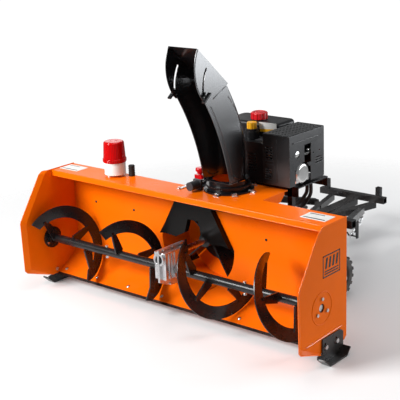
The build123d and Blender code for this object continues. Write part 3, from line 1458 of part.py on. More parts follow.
def main():
    plate = end_plate()
    save("housing_shell", drilled_housing())
    save("end_plate_right", plate)
    save("end_plate_left", mirrored(plate))
    save("impeller_drum", impeller_drum())
    save("outlet_deck", outlet_deck())
    save("intake_shield", intake_shield())
    save("scraper_bar", scraper_bar())
    save("skid_shoes", both(skid_shoe()))
    save("housing_bolts", housing_bolts())
    save("label_plates", [label_plate(-748, -634), label_plate(612, 728), blank_tag()])

    save("auger_left", auger_half(-1))
    save("auger_right", auger_half(1))
    save("auger_shaft", auger_shaft())
    save("shear_bolts", shear_bolts())
    save("auger_bearings", both(auger_bearing()))
    save("gearbox_case_left", gear_case_half(-1))
    save("gearbox_case_right", gear_case_half(1))
    save("worm_wheel", worm_wheel())
    save("impeller_shaft", impeller_shaft())
    save("impeller", impeller())
    save("impeller_bearing", rear_bearing())

    save("impeller_pulley", pulley(0, IMPELLER_Z, BIG_PULLEY_R, WORM_SHAFT_R + 0.02))
    save("engine_pulley", pulley(ENGINE_X, ENGINE_SHAFT_Z, SMALL_PULLEY_R, SHAFT_R + 0.02))
    save("drive_belt", belt_loop(0.6, 8))
    save("belt_cover", belt_cover())

    save("chute_turntable", turntable())
    save("turntable_clips", turntable_clips() + clip_bolts() + strap())
    save("chute_channel", chute_channel())
    save("deflector_hood", deflector_hood())
    save("hinge_pin", hinge_pin())
    save("wing_knob_left", wing_knob(-1))
    save("wing_knob_right", wing_knob(1))
    save("chute_worm", chute_worm())
    save("chute_motor", [chute_motor(), chute_drive_bracket()])

    save("beacon_base", beacon_base())
    save("beacon_lens", beacon_lens())
    save("beacon_rotor", beacon_rotor())
    save("cable_gland", gland_post())

    save("crankcase", crankcase())
    save("cylinder_fins", engine_cylinder())
    save("crankshaft", crankshaft())
    save("recoil_cover", recoil_cover())
    save("pull_handle", pull_handle())
    save("fuel_tank", fuel_tank())
    save("fuel_cap", fuel_cap())
    save("oil_filler", oil_filler())
    save("oil_cap", oil_cap())
    save("muffler", [muffler(), exhaust_outlet()])
    save("muffler_guard", muffler_guard())
    save("air_box", air_box())
    save("switch_box", switch_box())
    save("stop_button", stop_button())

    save("engine_bed", [engine_bed()] + engine_legs())
    save("push_frame", push_frame())
    save("wheel_forks", [at_wheel(fork(), 1), at_wheel(fork(), -1), hook_lug()])
    save("wheel_axles", [at_wheel(axle(), 1), at_wheel(axle(), -1)])
    save("wheel_left", wheel(-1))
    save("wheel_right", wheel(1))
    save("chain", chain())
    save("hoses", hoses())


if __name__ == "__main__":
    main()
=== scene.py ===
import json
import math

import bmesh
import bpy
from mathutils import Matrix, Vector


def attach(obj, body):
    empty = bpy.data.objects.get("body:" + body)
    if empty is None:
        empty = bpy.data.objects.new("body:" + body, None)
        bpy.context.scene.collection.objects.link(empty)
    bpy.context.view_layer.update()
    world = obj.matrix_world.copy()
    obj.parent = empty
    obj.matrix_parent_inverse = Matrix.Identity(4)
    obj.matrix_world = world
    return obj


# A two-stage snowblower attachment: materials, small details, studio light and camera round the CAD
# frame. Lengths in the detail functions are in mm, with y = 0 on the housing's back sheet and z = 0 on
# the end plates' bottom edge: at() turns such a point into the frame's metres. Radii are in metres.

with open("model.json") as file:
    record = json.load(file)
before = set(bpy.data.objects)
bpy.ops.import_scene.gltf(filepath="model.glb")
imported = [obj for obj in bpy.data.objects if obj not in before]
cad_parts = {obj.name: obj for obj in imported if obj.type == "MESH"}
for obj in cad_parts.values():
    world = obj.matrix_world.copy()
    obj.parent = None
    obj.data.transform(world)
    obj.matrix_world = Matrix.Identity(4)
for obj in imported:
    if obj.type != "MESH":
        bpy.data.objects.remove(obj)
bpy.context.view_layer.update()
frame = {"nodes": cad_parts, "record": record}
nodes = frame["nodes"]

MIDDLE_Y = 462.5
GROUND_GAP = 45.0
HALF_WIDTH = 762.0
AUGER_Y, AUGER_Z = -172.0, 186.0
CHUTE_X, CHUTE_Y = 140.0, 54.0
BEACON_X, BEACON_Y = -430.0, -52.0
GEARBOX_Z = 250.0


def at(x, y, z):
    return Vector((x / 1000, (y - MIDDLE_Y) / 1000, (z + GROUND_GAP) / 1000))


# ---------------------------------------------------------------- materials

COAT_ROUGHNESS = 0.12
RELIEF_DEPTH = 0.0006
DUST = (0.34, 0.29, 0.24)
DUST_LOW, DUST_HIGH = 0.02, 0.34


class Nodes:
    """A material's node tree with short ways to add nodes and links."""

    def __init__(self, name):
        self.material = bpy.data.materials.new(name)
        self.material.use_nodes = True
        self.tree = self.material.node_tree
        self.shader = self.tree.nodes["Principled BSDF"]
        self.place = self.add("ShaderNodeTexCoord").outputs["Object"]

    def add(self, kind, **values):
        node = self.tree.nodes.new(kind)
        for key, value in values.items():
            setattr(node, key, value)
        return node

    def link(self, source, target):
        self.tree.links.new(source, target)

    def noise(self, scale, detail=3.0, rough=0.55, stretch=None):
        node = self.add("ShaderNodeTexNoise")
        node.inputs["Scale"].default_value = scale
        node.inputs["Detail"].default_value = detail
        node.inputs["Roughness"].default_value = rough
        place = self.place
        if stretch:
            mapping = self.add("ShaderNodeMapping")
            mapping.inputs["Scale"].default_value = stretch
            self.link(place, mapping.inputs["Vector"])
            place = mapping.outputs["Vector"]
        self.link(place, node.inputs["Vector"])
        return node.outputs["Fac"]

    def span(self, value, low, high, to_low=0.0, to_high=1.0):
        node = self.add("ShaderNodeMapRange")
        node.inputs["From Min"].default_value = low
        node.inputs["From Max"].default_value = high
        node.inputs["To Min"].default_value = to_low
        node.inputs["To Max"].default_value = to_high
        self.link(value, node.inputs["Value"])
        return node.outputs["Result"]

    def math(self, operation, first, second):
        node = self.add("ShaderNodeMath", operation=operation)
        for socket, value in zip(node.inputs, (first, second)):
            if isinstance(value, (int, float)):
                socket.default_value = value
            else:
                self.link(value, socket)
        return node.outputs[0]

    def mix(self, share, first, second):
        node = self.add("ShaderNodeMix", data_type="RGBA")
        self.link(share, node.inputs["Factor"])
        for socket, value in ((node.inputs[6], first), (node.inputs[7], second)):
            if isinstance(value, tuple):
                socket.default_value = (*value, 1.0)
            else:
                self.link(value, socket)
        return node.outputs[2]

    def height(self):
        split = self.add("ShaderNodeSeparateXYZ")
        self.link(self.place, split.inputs[0])
        return split.outputs["Z"]


def shade(colour, factor):
    return tuple(min(1.0, channel * factor) for channel in colour)


def surface(name, colour, rough, metal=0.0, vary=0.12, blotch=7.0, grain=500.0, bump=0.08,
            coat=0.0, gloss=0.5, uneven=0.14, edge_wear_and_highlight=None, edge_wear_and_highlight_share=0.0, dust=0.0, scratches=0.0,
            edge=0.0012, brushed=None):
    """A finish with uneven colour, grain, fine scratches, dust near the ground, and edges painted
    lighter: partly wear, partly a painted highlight.
    """
    n = Nodes(name)
    patches = n.noise(blotch, 5.0, 0.6)
    paint = n.mix(n.span(patches, 0.32, 0.68), shade(colour, 1 - vary), shade(colour, 1 + vary))
    roughness = n.span(patches, 0.3, 0.7, rough * (1 - uneven), rough * (1 + uneven))
    normal = None
    if edge:
        rounded = n.add("ShaderNodeBevel", samples=4)
        rounded.inputs["Radius"].default_value = edge
        normal = rounded.outputs["Normal"]
    # Rounded edges are painted towards a lighter colour: partly wear, partly a painted highlight along
    # the edges.
    if edge_wear_and_highlight and edge:
        flat = n.add("ShaderNodeNewGeometry").outputs["Normal"]
        turn = n.add("ShaderNodeVectorMath", operation="DOT_PRODUCT")
        n.link(normal, turn.inputs[0])
        n.link(flat, turn.inputs[1])
        corner = n.span(turn.outputs["Value"], 0.97, 0.80)
        rub_and_highlight = n.math("MULTIPLY", corner, n.span(n.noise(60.0, 6.0, 0.7), 0.5, 0.62))
        rub_and_highlight = n.math("MULTIPLY", rub_and_highlight, edge_wear_and_highlight_share)
        paint = n.mix(rub_and_highlight, paint, edge_wear_and_highlight)
    if scratches:
        lines = n.noise(9.0, 8.0, 0.8, stretch=(1.0, 1.0, 26.0))
        marks = n.math("MULTIPLY", n.span(lines, 0.60, 0.66), scratches)
        paint = n.mix(marks, paint, shade(colour, 1.7))
        roughness = n.math("ADD", roughness, n.math("MULTIPLY", marks, 0.2))
    if dust:
        low = n.span(n.height(), DUST_HIGH, DUST_LOW)
        film = n.math("MULTIPLY", low, n.span(n.noise(16.0, 6.0, 0.7), 0.35, 0.75))
        paint = n.mix(n.math("MULTIPLY", film, dust), paint, DUST)
    fine = n.noise(grain, 2.0, 0.5, stretch=brushed)
    relief = n.add("ShaderNodeBump")
    relief.inputs["Strength"].default_value = bump
    relief.inputs["Distance"].default_value = RELIEF_DEPTH
    n.link(fine, relief.inputs["Height"])
    if normal:
        n.link(normal, relief.inputs["Normal"])
    n.link(relief.outputs["Normal"], n.shader.inputs["Normal"])
    n.link(paint, n.shader.inputs["Base Color"])
    n.link(roughness, n.shader.inputs["Roughness"])
    n.shader.inputs["Metallic"].default_value = metal
    n.shader.inputs["Specular IOR Level"].default_value = gloss
    n.shader.inputs["Coat Weight"].default_value = coat
    n.shader.inputs["Coat Roughness"].default_value = COAT_ROUGHNESS
    return n.material


ORANGE = (0.88, 0.145, 0.001)
# Lighter colour on the satin black's edges: partly worn steel, partly a painted highlight.
STEEL_EDGE_AND_HIGHLIGHT = (0.16, 0.16, 0.17)
finishes = {
    # The housing's edges are painted a lighter orange, partly wear and partly a painted highlight.
    "housing_orange": surface(
        "housing_orange", ORANGE, 0.30, vary=0.05, blotch=3.5, grain=900.0, bump=0.05, gloss=0.07,
        edge_wear_and_highlight=(0.95, 0.42, 0.16), edge_wear_and_highlight_share=0.6, dust=0.02, scratches=0.04),
    # Lighter copy of the housing orange for the rolled edges: a painted highlight.
    "edge_orange_highlit": surface(
        "edge_orange_highlit", shade(ORANGE, 1.1), 0.22, vary=0.04, grain=900.0, bump=0.02, gloss=0.5, edge=0),
    # Lighter copy of the housing orange for the pressed creases: a painted highlight.
    "crease_orange_highlit": surface(
        "crease_orange_highlit", shade(ORANGE, 1.1), 0.14, vary=0.04, grain=900.0, bump=0.01, gloss=1.0,
        coat=1.0, edge=0),
    "satin_black": surface(
        "satin_black", (0.007, 0.0065, 0.0075), 0.27, vary=0.2, grain=800.0, bump=0.03, gloss=0.38,
        uneven=0.04, edge_wear_and_highlight=STEEL_EDGE_AND_HIGHLIGHT, edge_wear_and_highlight_share=0.6, dust=0.12, scratches=0.05),
    "chute_black": surface(
        "chute_black", (0.006, 0.006, 0.007), 0.24, vary=0.15, grain=420.0, bump=0.001, gloss=1.0,
        uneven=0.02, edge=0),
    # Darker, less reflective copy of the satin black for the intake shield: painted shade.
    "shield_black_shaded": surface(
        "shield_black_shaded", (0.004, 0.0032, 0.003), 0.20, vary=0.2, grain=700.0, bump=0.02, gloss=0.16,
        uneven=0.05, edge_wear_and_highlight=(0.12, 0.11, 0.11), edge_wear_and_highlight_share=0.5),
    "zinc": surface(
        "zinc", (0.60, 0.60, 0.60), 0.28, metal=1.0, vary=0.12, blotch=30.0, bump=0.1,
        brushed=(1.0, 14.0, 14.0), edge_wear_and_highlight=(0.85, 0.85, 0.85), edge_wear_and_highlight_share=0.5),
    "cast_alloy": surface(
        "cast_alloy", (0.60, 0.60, 0.61), 0.30, metal=0.9, vary=0.22, blotch=24.0, grain=620.0,
        bump=0.35, edge_wear_and_highlight=(0.95, 0.95, 0.95), edge_wear_and_highlight_share=0.8, edge=0.002),
    "bronze": surface("bronze", (0.55, 0.33, 0.12), 0.30, metal=1.0, bump=0.08),
    "cast_dark": surface(
        "cast_dark", (0.05, 0.05, 0.055), 0.5, metal=0.3, grain=420.0, bump=0.4,
        edge_wear_and_highlight=(0.3, 0.3, 0.3), edge_wear_and_highlight_share=0.5),
    "black_rubber": surface(
        "black_rubber", (0.012, 0.012, 0.012), 0.62, vary=0.25, grain=300.0, bump=0.3, dust=0.35,
        edge=0.002),
    "black_plastic": surface(
        "black_plastic", (0.008, 0.008, 0.009), 0.36, vary=0.15, grain=1100.0, bump=0.22, gloss=0.35,
        edge_wear_and_highlight=(0.06, 0.06, 0.06), edge_wear_and_highlight_share=0.6, edge=0.002),
    "cream_plastic": surface(
        "cream_plastic", (0.90, 0.93, 0.90), 0.42, vary=0.05, grain=700.0, bump=0.08, edge=0.002),
    "polished_metal": surface(
        "polished_metal", (0.83, 0.82, 0.80), 0.14, metal=1.0, vary=0.08, blotch=20.0, bump=0.04,
        edge=0.002),
    "red_plastic": surface(
        "red_plastic", (0.50, 0.003, 0.008), 0.24, vary=0.12, grain=700.0, bump=0.08, coat=0.3,
        edge=0.0015),
    "yellow_plastic": surface(
        "yellow_plastic", (0.86, 0.42, 0.01), 0.32, vary=0.1, grain=700.0, bump=0.08, coat=0.2,
        edge=0.0015),
    # The guard's edges are painted light grey, partly wear and partly a painted highlight.
    "grey_enamel": surface(
        "grey_enamel", (0.011, 0.011, 0.012), 0.30, gloss=0.6, vary=0.15, grain=760.0, bump=0.08,
        coat=0.15, edge_wear_and_highlight=(0.42, 0.42, 0.43), edge_wear_and_highlight_share=0.8, edge=0.002),
    "pale_label": surface(
        "pale_label", (0.80, 0.79, 0.76), 0.40, vary=0.06, blotch=40.0, bump=0.03, edge=0),
}
LENS_RIBS = 40.0
LENS_RELIEF = 0.0008


def red_lens():
    """Translucent dark red moulding with fine upright ribs round the beacon's axis; the ribs are also
    painted in darker stripes, a painted shade of the flutes.
    """
    n = Nodes("red_lens")
    patches = n.noise(30.0, 3.0)
    split = n.add("ShaderNodeSeparateXYZ")
    n.link(n.place, split.inputs[0])
    axis = at(BEACON_X, BEACON_Y, 0)
    off_x = n.math("SUBTRACT", split.outputs["X"], axis.x)
    off_y = n.math("SUBTRACT", split.outputs["Y"], axis.y)
    turn = n.math("ARCTAN2", off_y, off_x)
    ribs = n.span(n.math("SINE", n.math("MULTIPLY", turn, LENS_RIBS), 0.0), -1.0, 1.0)
    tint = n.mix(patches, (0.74, 0.0, 0.001), (0.88, 0.0005, 0.001))
    # Darker red along each rib: painted shade of the flutes.
    paint = n.mix(n.math("MULTIPLY", ribs, 0.6), tint, (0.30, 0.0, 0.0005))
    n.link(paint, n.shader.inputs["Base Color"])
    n.link(n.span(patches, 0.3, 0.7, 0.08, 0.15), n.shader.inputs["Roughness"])
    n.shader.inputs["Transmission Weight"].default_value = 0.25
    n.shader.inputs["Specular IOR Level"].default_value = 0.3
    n.shader.inputs["IOR"].default_value = 1.47
    relief = n.add("ShaderNodeBump")
    relief.inputs["Strength"].default_value = 0.1
    relief.inputs["Distance"].default_value = LENS_RELIEF
    n.link(ribs, relief.inputs["Height"])
    n.link(relief.outputs["Normal"], n.shader.inputs["Normal"])
    return n.material


finishes["red_lens"] = red_lens()

# Nodes with a finish of their own: the chute's paint is glossier than the rest of its slot, and the
# shield gets a darker, less reflective copy of the satin black, a painted shade.
special = {
    "chute_channel": "chute_black",
    "deflector_hood": "chute_black",
    "intake_shield": "shield_black_shaded",
}
slots = {entry["node"]: entry["material_slot"] for entry in frame["record"]["subparts"]}
for name, node in nodes.items():
    node.data.materials.clear()
    node.data.materials.append(finishes[special.get(name, slots[name])])


# ---------------------------------------------------------------- mesh helpers

def piece(name, mesh, slot, body, smooth=False, finish=None):
    """Turns a bmesh into an object with a finish that rides on a body."""
    data = bpy.data.meshes.new(name)
    bmesh.ops.recalc_face_normals(mesh, faces=mesh.faces)
    mesh.to_mesh(data)
    mesh.free()
    for face in data.polygons:
        face.use_smooth = smooth
    data.materials.append(finishes[finish or slot])
    thing = bpy.data.objects.new(name, data)
    bpy.context.scene.collection.objects.link(thing)
    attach(thing, body)
    return thing


def bead(mesh, points, radius, closed=False, ripple=0.0, sides=8):
    """A round bead along a line of points, with ripples like a weld's."""
    count = len(points)
    rings = []
    for number, point in enumerate(points):
        before = points[(number - 1) % count] if closed or number > 0 else point
        after = points[(number + 1) % count] if closed or number < count - 1 else point
        heading = (after - before).normalized()
        if number == 0:
            side = heading.orthogonal().normalized()
        else:
            side = (side - heading * side.dot(heading)).normalized()
        other = heading.cross(side)
        wide = radius * (1 + ripple * math.sin(number * 2.1))
        ring = []
        for corner in range(sides):
            turn = 2 * math.pi * corner / sides
            spot = point + (side * math.cos(turn) + other * math.sin(turn)) * wide
            ring.append(mesh.verts.new(spot))
        rings.append(ring)
    for number in range(count if closed else count - 1):
        first, second = rings[number], rings[(number + 1) % count]
        for corner in range(sides):
            following = (corner + 1) % sides
            mesh.faces.new((first[corner], first[following], second[following], second[corner]))
    if not closed:
        mesh.faces.new(rings[0])
        mesh.faces.new(rings[-1])


def slab(mesh, corners, push):
    """A thin prism: corners in order, thickened by the vector push."""
    low = [mesh.verts.new(corner) for corner in corners]
    high = [mesh.verts.new(corner + push) for corner in corners]
    mesh.faces.new(low)
    mesh.faces.new(high)
    for number in range(len(low)):
        after = (number + 1) % len(low)
        mesh.faces.new((low[number], low[after], high[after], high[number]))


def circle(centre, radius, first, second, steps):
    """Points round a circle in the plane of two unit vectors."""
    spots = []
    for k in range(steps):
        turn = 2 * math.pi * k / steps
        spots.append(centre + (first * math.cos(turn) + second * math.sin(turn)) * radius)
    return spots


X_AXIS, Y_AXIS, Z_AXIS = Vector((1, 0, 0)), Vector((0, 1, 0)), Vector((0, 0, 1))

# ---------------------------------------------------------------- details on the housing


def plate_badge():
    """A plain framed block of slanted stripes on the right end plate."""
    mesh = bmesh.new()
    x = HALF_WIDTH + 0.05
    push = Vector((0.0005, 0, 0))
    y0, y1, z0, z1 = -165.0, -47.0, 303.0, 392.0
    bar = 5.0
    frame_bars = (
        (y0, y1, z0, z0 + bar),
        (y0, y1, z1 - bar, z1),
        (y0, y0 + bar, z0, z1),
        (y1 - bar, y1, z0, z1),
    )
    for a0, a1, b0, b1 in frame_bars:
        slab(mesh, [at(x, a0, b0), at(x, a1, b0), at(x, a1, b1), at(x, a0, b1)], push)
    stripe_low, stripe_high = z0 + 34, z1 - 12
    for number in range(4):
        left = y0 + 15 + 24 * number
        foot = ((left, stripe_low), (left + 12, stripe_low))
        stripe = foot + ((left + 20, stripe_high), (left + 8, stripe_high))
        slab(mesh, [at(x, y, z) for y, z in stripe], push)
    for number in range(2):
        low = z0 + 11 + 10 * number
        line = ((y0 + 12, low), (y1 - 12, low), (y1 - 12, low + 5), (y0 + 12, low + 5))
        slab(mesh, [at(x, y, z) for y, z in line], push)
    piece("plate_badge", mesh, "satin_black", "carrier")


def pressed_rings():
    """Low ring pressed round each outer bearing."""
    for sign, name in ((1, "pressed_ring_right"), (-1, "pressed_ring_left")):
        mesh = bmesh.new()
        centre = at(sign * (HALF_WIDTH - 0.8), AUGER_Y, AUGER_Z)
        bead(mesh, circle(centre, 0.066, Y_AXIS, Z_AXIS, 96), 0.0028, closed=True)
        piece(name, mesh, "housing_orange", "carrier", smooth=True)


def plate_creases():
    """Straight pressed crease low on each end plate, above its skid shoe, in a lighter and glossier
    orange: a painted highlight along the crease.
    """
    for sign, name in ((1, "plate_crease_right"), (-1, "plate_crease_left")):
        mesh = bmesh.new()
        ends = at(sign * (HALF_WIDTH + 0.2), -281, 60), at(sign * (HALF_WIDTH + 0.2), -36, 67)
        path = [ends[0].lerp(ends[1], k / 24) for k in range(25)]
        bead(mesh, path, 0.0022, sides=12)
        piece(name, mesh, "housing_orange", "carrier", smooth=True, finish="crease_orange_highlit")


def housing_welds():
    """Weld beads where the back sheet meets the end plates, inside."""
    mesh = bmesh.new()
    for sign in (-1, 1):
        x = sign * (HALF_WIDTH - 6.2)
        path = [at(x, -5.2, 492 - 6 * k) for k in range(48)]
        bead(mesh, path, 0.0022, ripple=0.16)
        path = [at(x, -8 - 6 * k, 500.8) for k in range(21)]
        bead(mesh, path, 0.0022, ripple=0.16)
    piece("housing_welds", mesh, "housing_orange", "carrier", smooth=True)


def rolled_edges():
    """Rounded bend along the top sheet's front, and the rolled rim of each flared end plate, in a
    lighter orange than the housing: a painted highlight along the bends.
    """
    mesh = bmesh.new()
    bead(mesh, [at(x, -141.9, 503.9) for x in range(-756, 757, 36)], 0.0025, sides=12)
    bead(mesh, [at(x, -142.4, 481.2) for x in range(-756, 757, 36)], 0.0019, sides=10)
    outline = (
        (-191, 506.4), (-210.5, 494.4), (-337.6, 304), (-342.2, 290),
        (-338.4, 61), (-326, 48.4), (-197, 2.6),
    )
    for sign in (-1, 1):
        x = sign * (HALF_WIDTH + 9.6)
        path = []
        for (y0, z0), (y1, z1) in zip(outline, outline[1:]):
            path += [at(x, y0 + (y1 - y0) * k / 6, z0 + (z1 - z0) * k / 6) for k in range(6)]
        path.append(at(x, *outline[-1]))
        bead(mesh, path, 0.0025, sides=12)
    piece("rolled_edges", mesh, "housing_orange", "carrier", smooth=True, finish="edge_orange_highlit")


def collar_weld():
    """Weld round the foot of the collar that the chute turns on."""
    mesh = bmesh.new()
    ring = circle(at(CHUTE_X, CHUTE_Y, 503), 0.0768, X_AXIS, Y_AXIS, 120)
    bead(mesh, ring, 0.0018, closed=True, ripple=0.15)
    piece("collar_weld", mesh, "housing_orange", "carrier", smooth=True)


RIBBON_LEAD = 350.0
# Each ribbon's place at angle 0, its first and last angle in degrees, and the way it winds.
RIBBONS = (
    (-776.0, 36.0, 282.0, 1),
    (-380.0, 52.0, 300.0, 1),
    (534.0, 214.0, 442.0, -1),
    (575.0, -98.0, 120.0, -1),
)


def auger_point(x, angle, radius):
    """A point at an angle round the auger's shaft, in mm and degrees."""
    turn = math.radians(angle)
    return at(x, AUGER_Y - radius * math.cos(turn), AUGER_Z + radius * math.sin(turn))


def auger_welds():
    """Beads round the foot of each spoke on the auger's tubes."""
    for side, name in ((-1, "auger_welds_left"), (1, "auger_welds_right")):
        mesh = bmesh.new()
        for x_front, low, high, direction in RIBBONS:
            if (x_front < 0) != (side < 0):
                continue
            for share in (0.08, 0.5, 0.92):
                angle = low + share * (high - low)
                x = x_front + direction * RIBBON_LEAD * angle / 360
                for edge in (-1, 1):
                    spots = range(-9, 10)
                    path = [auger_point(x + edge * 4.4, angle + 6 * k, 20.0) for k in spots]
                    bead(mesh, path, 0.0019, ripple=0.2)
        piece(name, mesh, "satin_black", "auger", smooth=True)


def beacon_details():
    """Flutes inside the lens, and two seam rings on the beacon's base."""
    mesh = bmesh.new()
    centre = at(BEACON_X, BEACON_Y, 0)
    for number in range(36):
        turn = 2 * math.pi * number / 36
        out = Vector((math.cos(turn), math.sin(turn), 0))
        low = centre + out * 0.0471 + Z_AXIS * 0.580
        high = centre + out * 0.0432 + Z_AXIS * 0.646
        bead(mesh, [low, (low + high) / 2, high], 0.0011, sides=6)
    piece("beacon_flutes", mesh, "red_lens", "carrier", smooth=True)
    mesh = bmesh.new()
    for z in (519, 566):
        ring = circle(at(BEACON_X, BEACON_Y, z), 0.0478, X_AXIS, Y_AXIS, 96)
        bead(mesh, ring, 0.0012, closed=True)
    piece("beacon_seams", mesh, "cream_plastic", "carrier", smooth=True)


def lens_rim():
    """Thick rim at the foot of the lens, and a raised ring on its top."""
    mesh = bmesh.new()
    for z in (577, 582, 587):
        ring = circle(at(BEACON_X, BEACON_Y, z), 0.0513, X_AXIS, Y_AXIS, 96)
        bead(mesh, ring, 0.0026, closed=True)
    bead(mesh, circle(at(BEACON_X, BEACON_Y, 665.4), 0.034, X_AXIS, Y_AXIS, 96), 0.0014, closed=True)
    piece("lens_rim", mesh, "red_lens", "carrier", smooth=True)


def arc_through(first, middle, last, steps):
    """Points on the circle through three (y, z) points."""
    (ax, ay), (bx, by), (cx, cy) = first, middle, last
    d = 2 * (ax * (by - cy) + bx * (cy - ay) + cx * (ay - by))
    a2, b2, c2 = ax**2 + ay**2, bx**2 + by**2, cx**2 + cy**2
    ux = (a2 * (by - cy) + b2 * (cy - ay) + c2 * (ay - by)) / d
    uy = (a2 * (cx - bx) + b2 * (ax - cx) + c2 * (bx - ax)) / d
    radius = math.hypot(ax - ux, ay - uy)
    start = math.atan2(ay - uy, ax - ux)
    end = math.atan2(cy - uy, cx - ux)
    turn = (end - start + math.pi) % (2 * math.pi) - math.pi
    angles = [start + turn * k / steps for k in range(steps + 1)]
    return [(ux + radius * math.cos(a), uy + radius * math.sin(a)) for a in angles]


def chute_creases():
    """Pressed lines along the channel's walls, beside their edges, and a rolled toe at each foot."""
    front = arc_through((-25.0, 554.0), (-84.0, 760.0), (-196.0, 966.0), 60)
    for side, name in ((1, "chute_creases_right"), (-1, "chute_creases_left")):
        mesh = bmesh.new()
        x = CHUTE_X + side * 71.0
        for back in (14, 23):
            path = [at(x, y + back, z) for y, z in front if 590 < z < 905]
            bead(mesh, path, 0.0015, sides=10)
        rear = arc_through((96.0, 640.0), (70.0, 800.0), (-10.0, 925.0), 40)
        bead(mesh, [at(x, y - 12, z) for y, z in rear if z > 600], 0.0014, sides=10)
        toe = [at(x, y, z) for y, z in ((0, 588), (8, 576), (26, 568), (52, 565), (70, 572))]
        bead(mesh, toe, 0.0045, sides=12)
        piece(name, mesh, "satin_black", "chute", smooth=True, finish="chute_black")


def gearbox_plug():
    """Dark plug with a raised rim and a hexagonal head in the gearbox's round front boss."""
    mesh = bmesh.new()
    bead(mesh, circle(at(0, -252.6, GEARBOX_Z), 0.0150, X_AXIS, Z_AXIS, 48), 0.0022, closed=True)
    slab(mesh, circle(at(0, -251.95, GEARBOX_Z), 0.0145, X_AXIS, Z_AXIS, 48), Y_AXIS * -0.0016)
    slab(mesh, circle(at(0, -253.5, GEARBOX_Z), 0.0050, X_AXIS, Z_AXIS, 6), Y_AXIS * -0.0028)
    piece("gearbox_plug", mesh, "satin_black", "carrier")


def hood_rolled_edges():
    """Rolled lines along the front edge of the hood's cheeks and along their lower edge."""
    bow = arc_through((-203.0, 1141.0), (-226.0, 1052.0), (-185.0, 941.0), 50)
    for side, name in ((1, "hood_edge_right"), (-1, "hood_edge_left")):
        mesh = bmesh.new()
        x = CHUTE_X + side * 75.2
        bead(mesh, [at(x, y + 0.6, z) for y, z in bow], 0.0018, sides=10)
        seam = ((-42, 970), (-70, 957), (-100, 943), (-124, 932))
        bead(mesh, [at(x, y, z) for y, z in seam], 0.0018)
        piece(name, mesh, "satin_black", "hood", smooth=True, finish="chute_black")


def fuel_cap_disc():
    """Two raised rings on top of the fuel cap."""
    mesh = bmesh.new()
    for radius in (0.0285, 0.0165):
        bead(mesh, circle(at(93, 338, 784.0), radius, X_AXIS, Y_AXIS, 72), 0.0013, closed=True)
    piece("fuel_cap_rings", mesh, "red_plastic", "fuel_cap", smooth=True)


def recoil_seams():
    """Two raised rings on the recoil starter's cover."""
    mesh = bmesh.new()
    for radius in (0.028, 0.070):
        bead(mesh, circle(at(110, 462.0, 600), radius, X_AXIS, Z_AXIS, 96), 0.0012, closed=True)
    piece("recoil_rings", mesh, "black_plastic", "carrier", smooth=True)


def guard_creases():
    """Pressed lines on the guard's front and right faces."""
    mesh = bmesh.new()
    for z in (612, 626):
        bead(mesh, [at(262 + 6 * k, 156.0, z) for k in range(8)], 0.0014)
    bead(mesh, [at(318, 156.0, z) for z in range(540, 725, 12)], 0.0016)
    bead(mesh, [at(384.0, y, 708) for y in range(176, 400, 14)], 0.0016)
    piece("guard_creases", mesh, "grey_enamel", "carrier", smooth=True)


def small_screws():
    """Domed screws in the back sheet that hold parts behind it."""
    mesh = bmesh.new()
    for x, z in ((-375.5, 339.0), (375.5, 339.0), (-620.0, 339.0), (620.0, 339.0)):
        steps = 14
        crown = mesh.verts.new(at(x, -6.4, z))
        rings = []
        for radius, y in ((3.2, -5.9), (5.6, -4.4), (6.2, -3.1)):
            spots = circle(at(x, y, z), radius / 1000, X_AXIS, Z_AXIS, steps)
            rings.append([mesh.verts.new(spot) for spot in spots])
        for k in range(steps):
            after = (k + 1) % steps
            mesh.faces.new((crown, rings[0][k], rings[0][after]))
            for inner, outer in zip(rings, rings[1:]):
                mesh.faces.new((inner[k], outer[k], outer[after], inner[after]))
        mesh.faces.new(rings[-1])
    piece("back_screws", mesh, "satin_black", "carrier", smooth=True)


def tag_band():
    """Yellow band along the lower edge of the blank card."""
    mesh = bmesh.new()
    turn = Matrix.Rotation(math.radians(3), 3, "Z") @ Matrix.Rotation(math.radians(8), 3, "X")
    centre = at(188, 274, 735)
    corners = [(-43.6, -0.85, -21.6), (43.6, -0.85, -21.6), (43.6, -0.85, -4.0), (-43.6, -0.85, -9.0)]
    spots = [centre + turn @ (Vector(corner) / 1000) for corner in corners]
    slab(mesh, spots, turn @ Vector((0, -0.0003, 0)))
    piece("tag_band", mesh, "yellow_plastic", "carrier")


def label_lines():
    """Plain grey bands on the blank plates of the top sheet."""
    mesh = bmesh.new()
    push = Vector((0, 0, 0.0003))
    for x0, x1 in ((-748, -634), (612, 728)):
        z = 507.25
        for right, y0, y1 in ((x1 - 8, -92, -84), (x1 - 40, -42, -36)):
            band = ((x0 + 8, y0), (right, y0), (right, y1), (x0 + 8, y1))
            slab(mesh, [at(x, y, z) for x, y in band], push)
    piece("label_bands", mesh, "grey_enamel", "carrier")


plate_badge()
pressed_rings()
plate_creases()
rolled_edges()
housing_welds()
collar_weld()
auger_welds()
beacon_details()
label_lines()
lens_rim()
chute_creases()
small_screws()
tag_band()
gearbox_plug()
hood_rolled_edges()
fuel_cap_disc()
recoil_seams()
guard_creases()


# ---------------------------------------------------------------- floor, light and camera

FLOOR_RADIUS = 6.0
FADE_FROM, FADE_TO = 1.1, 2.5


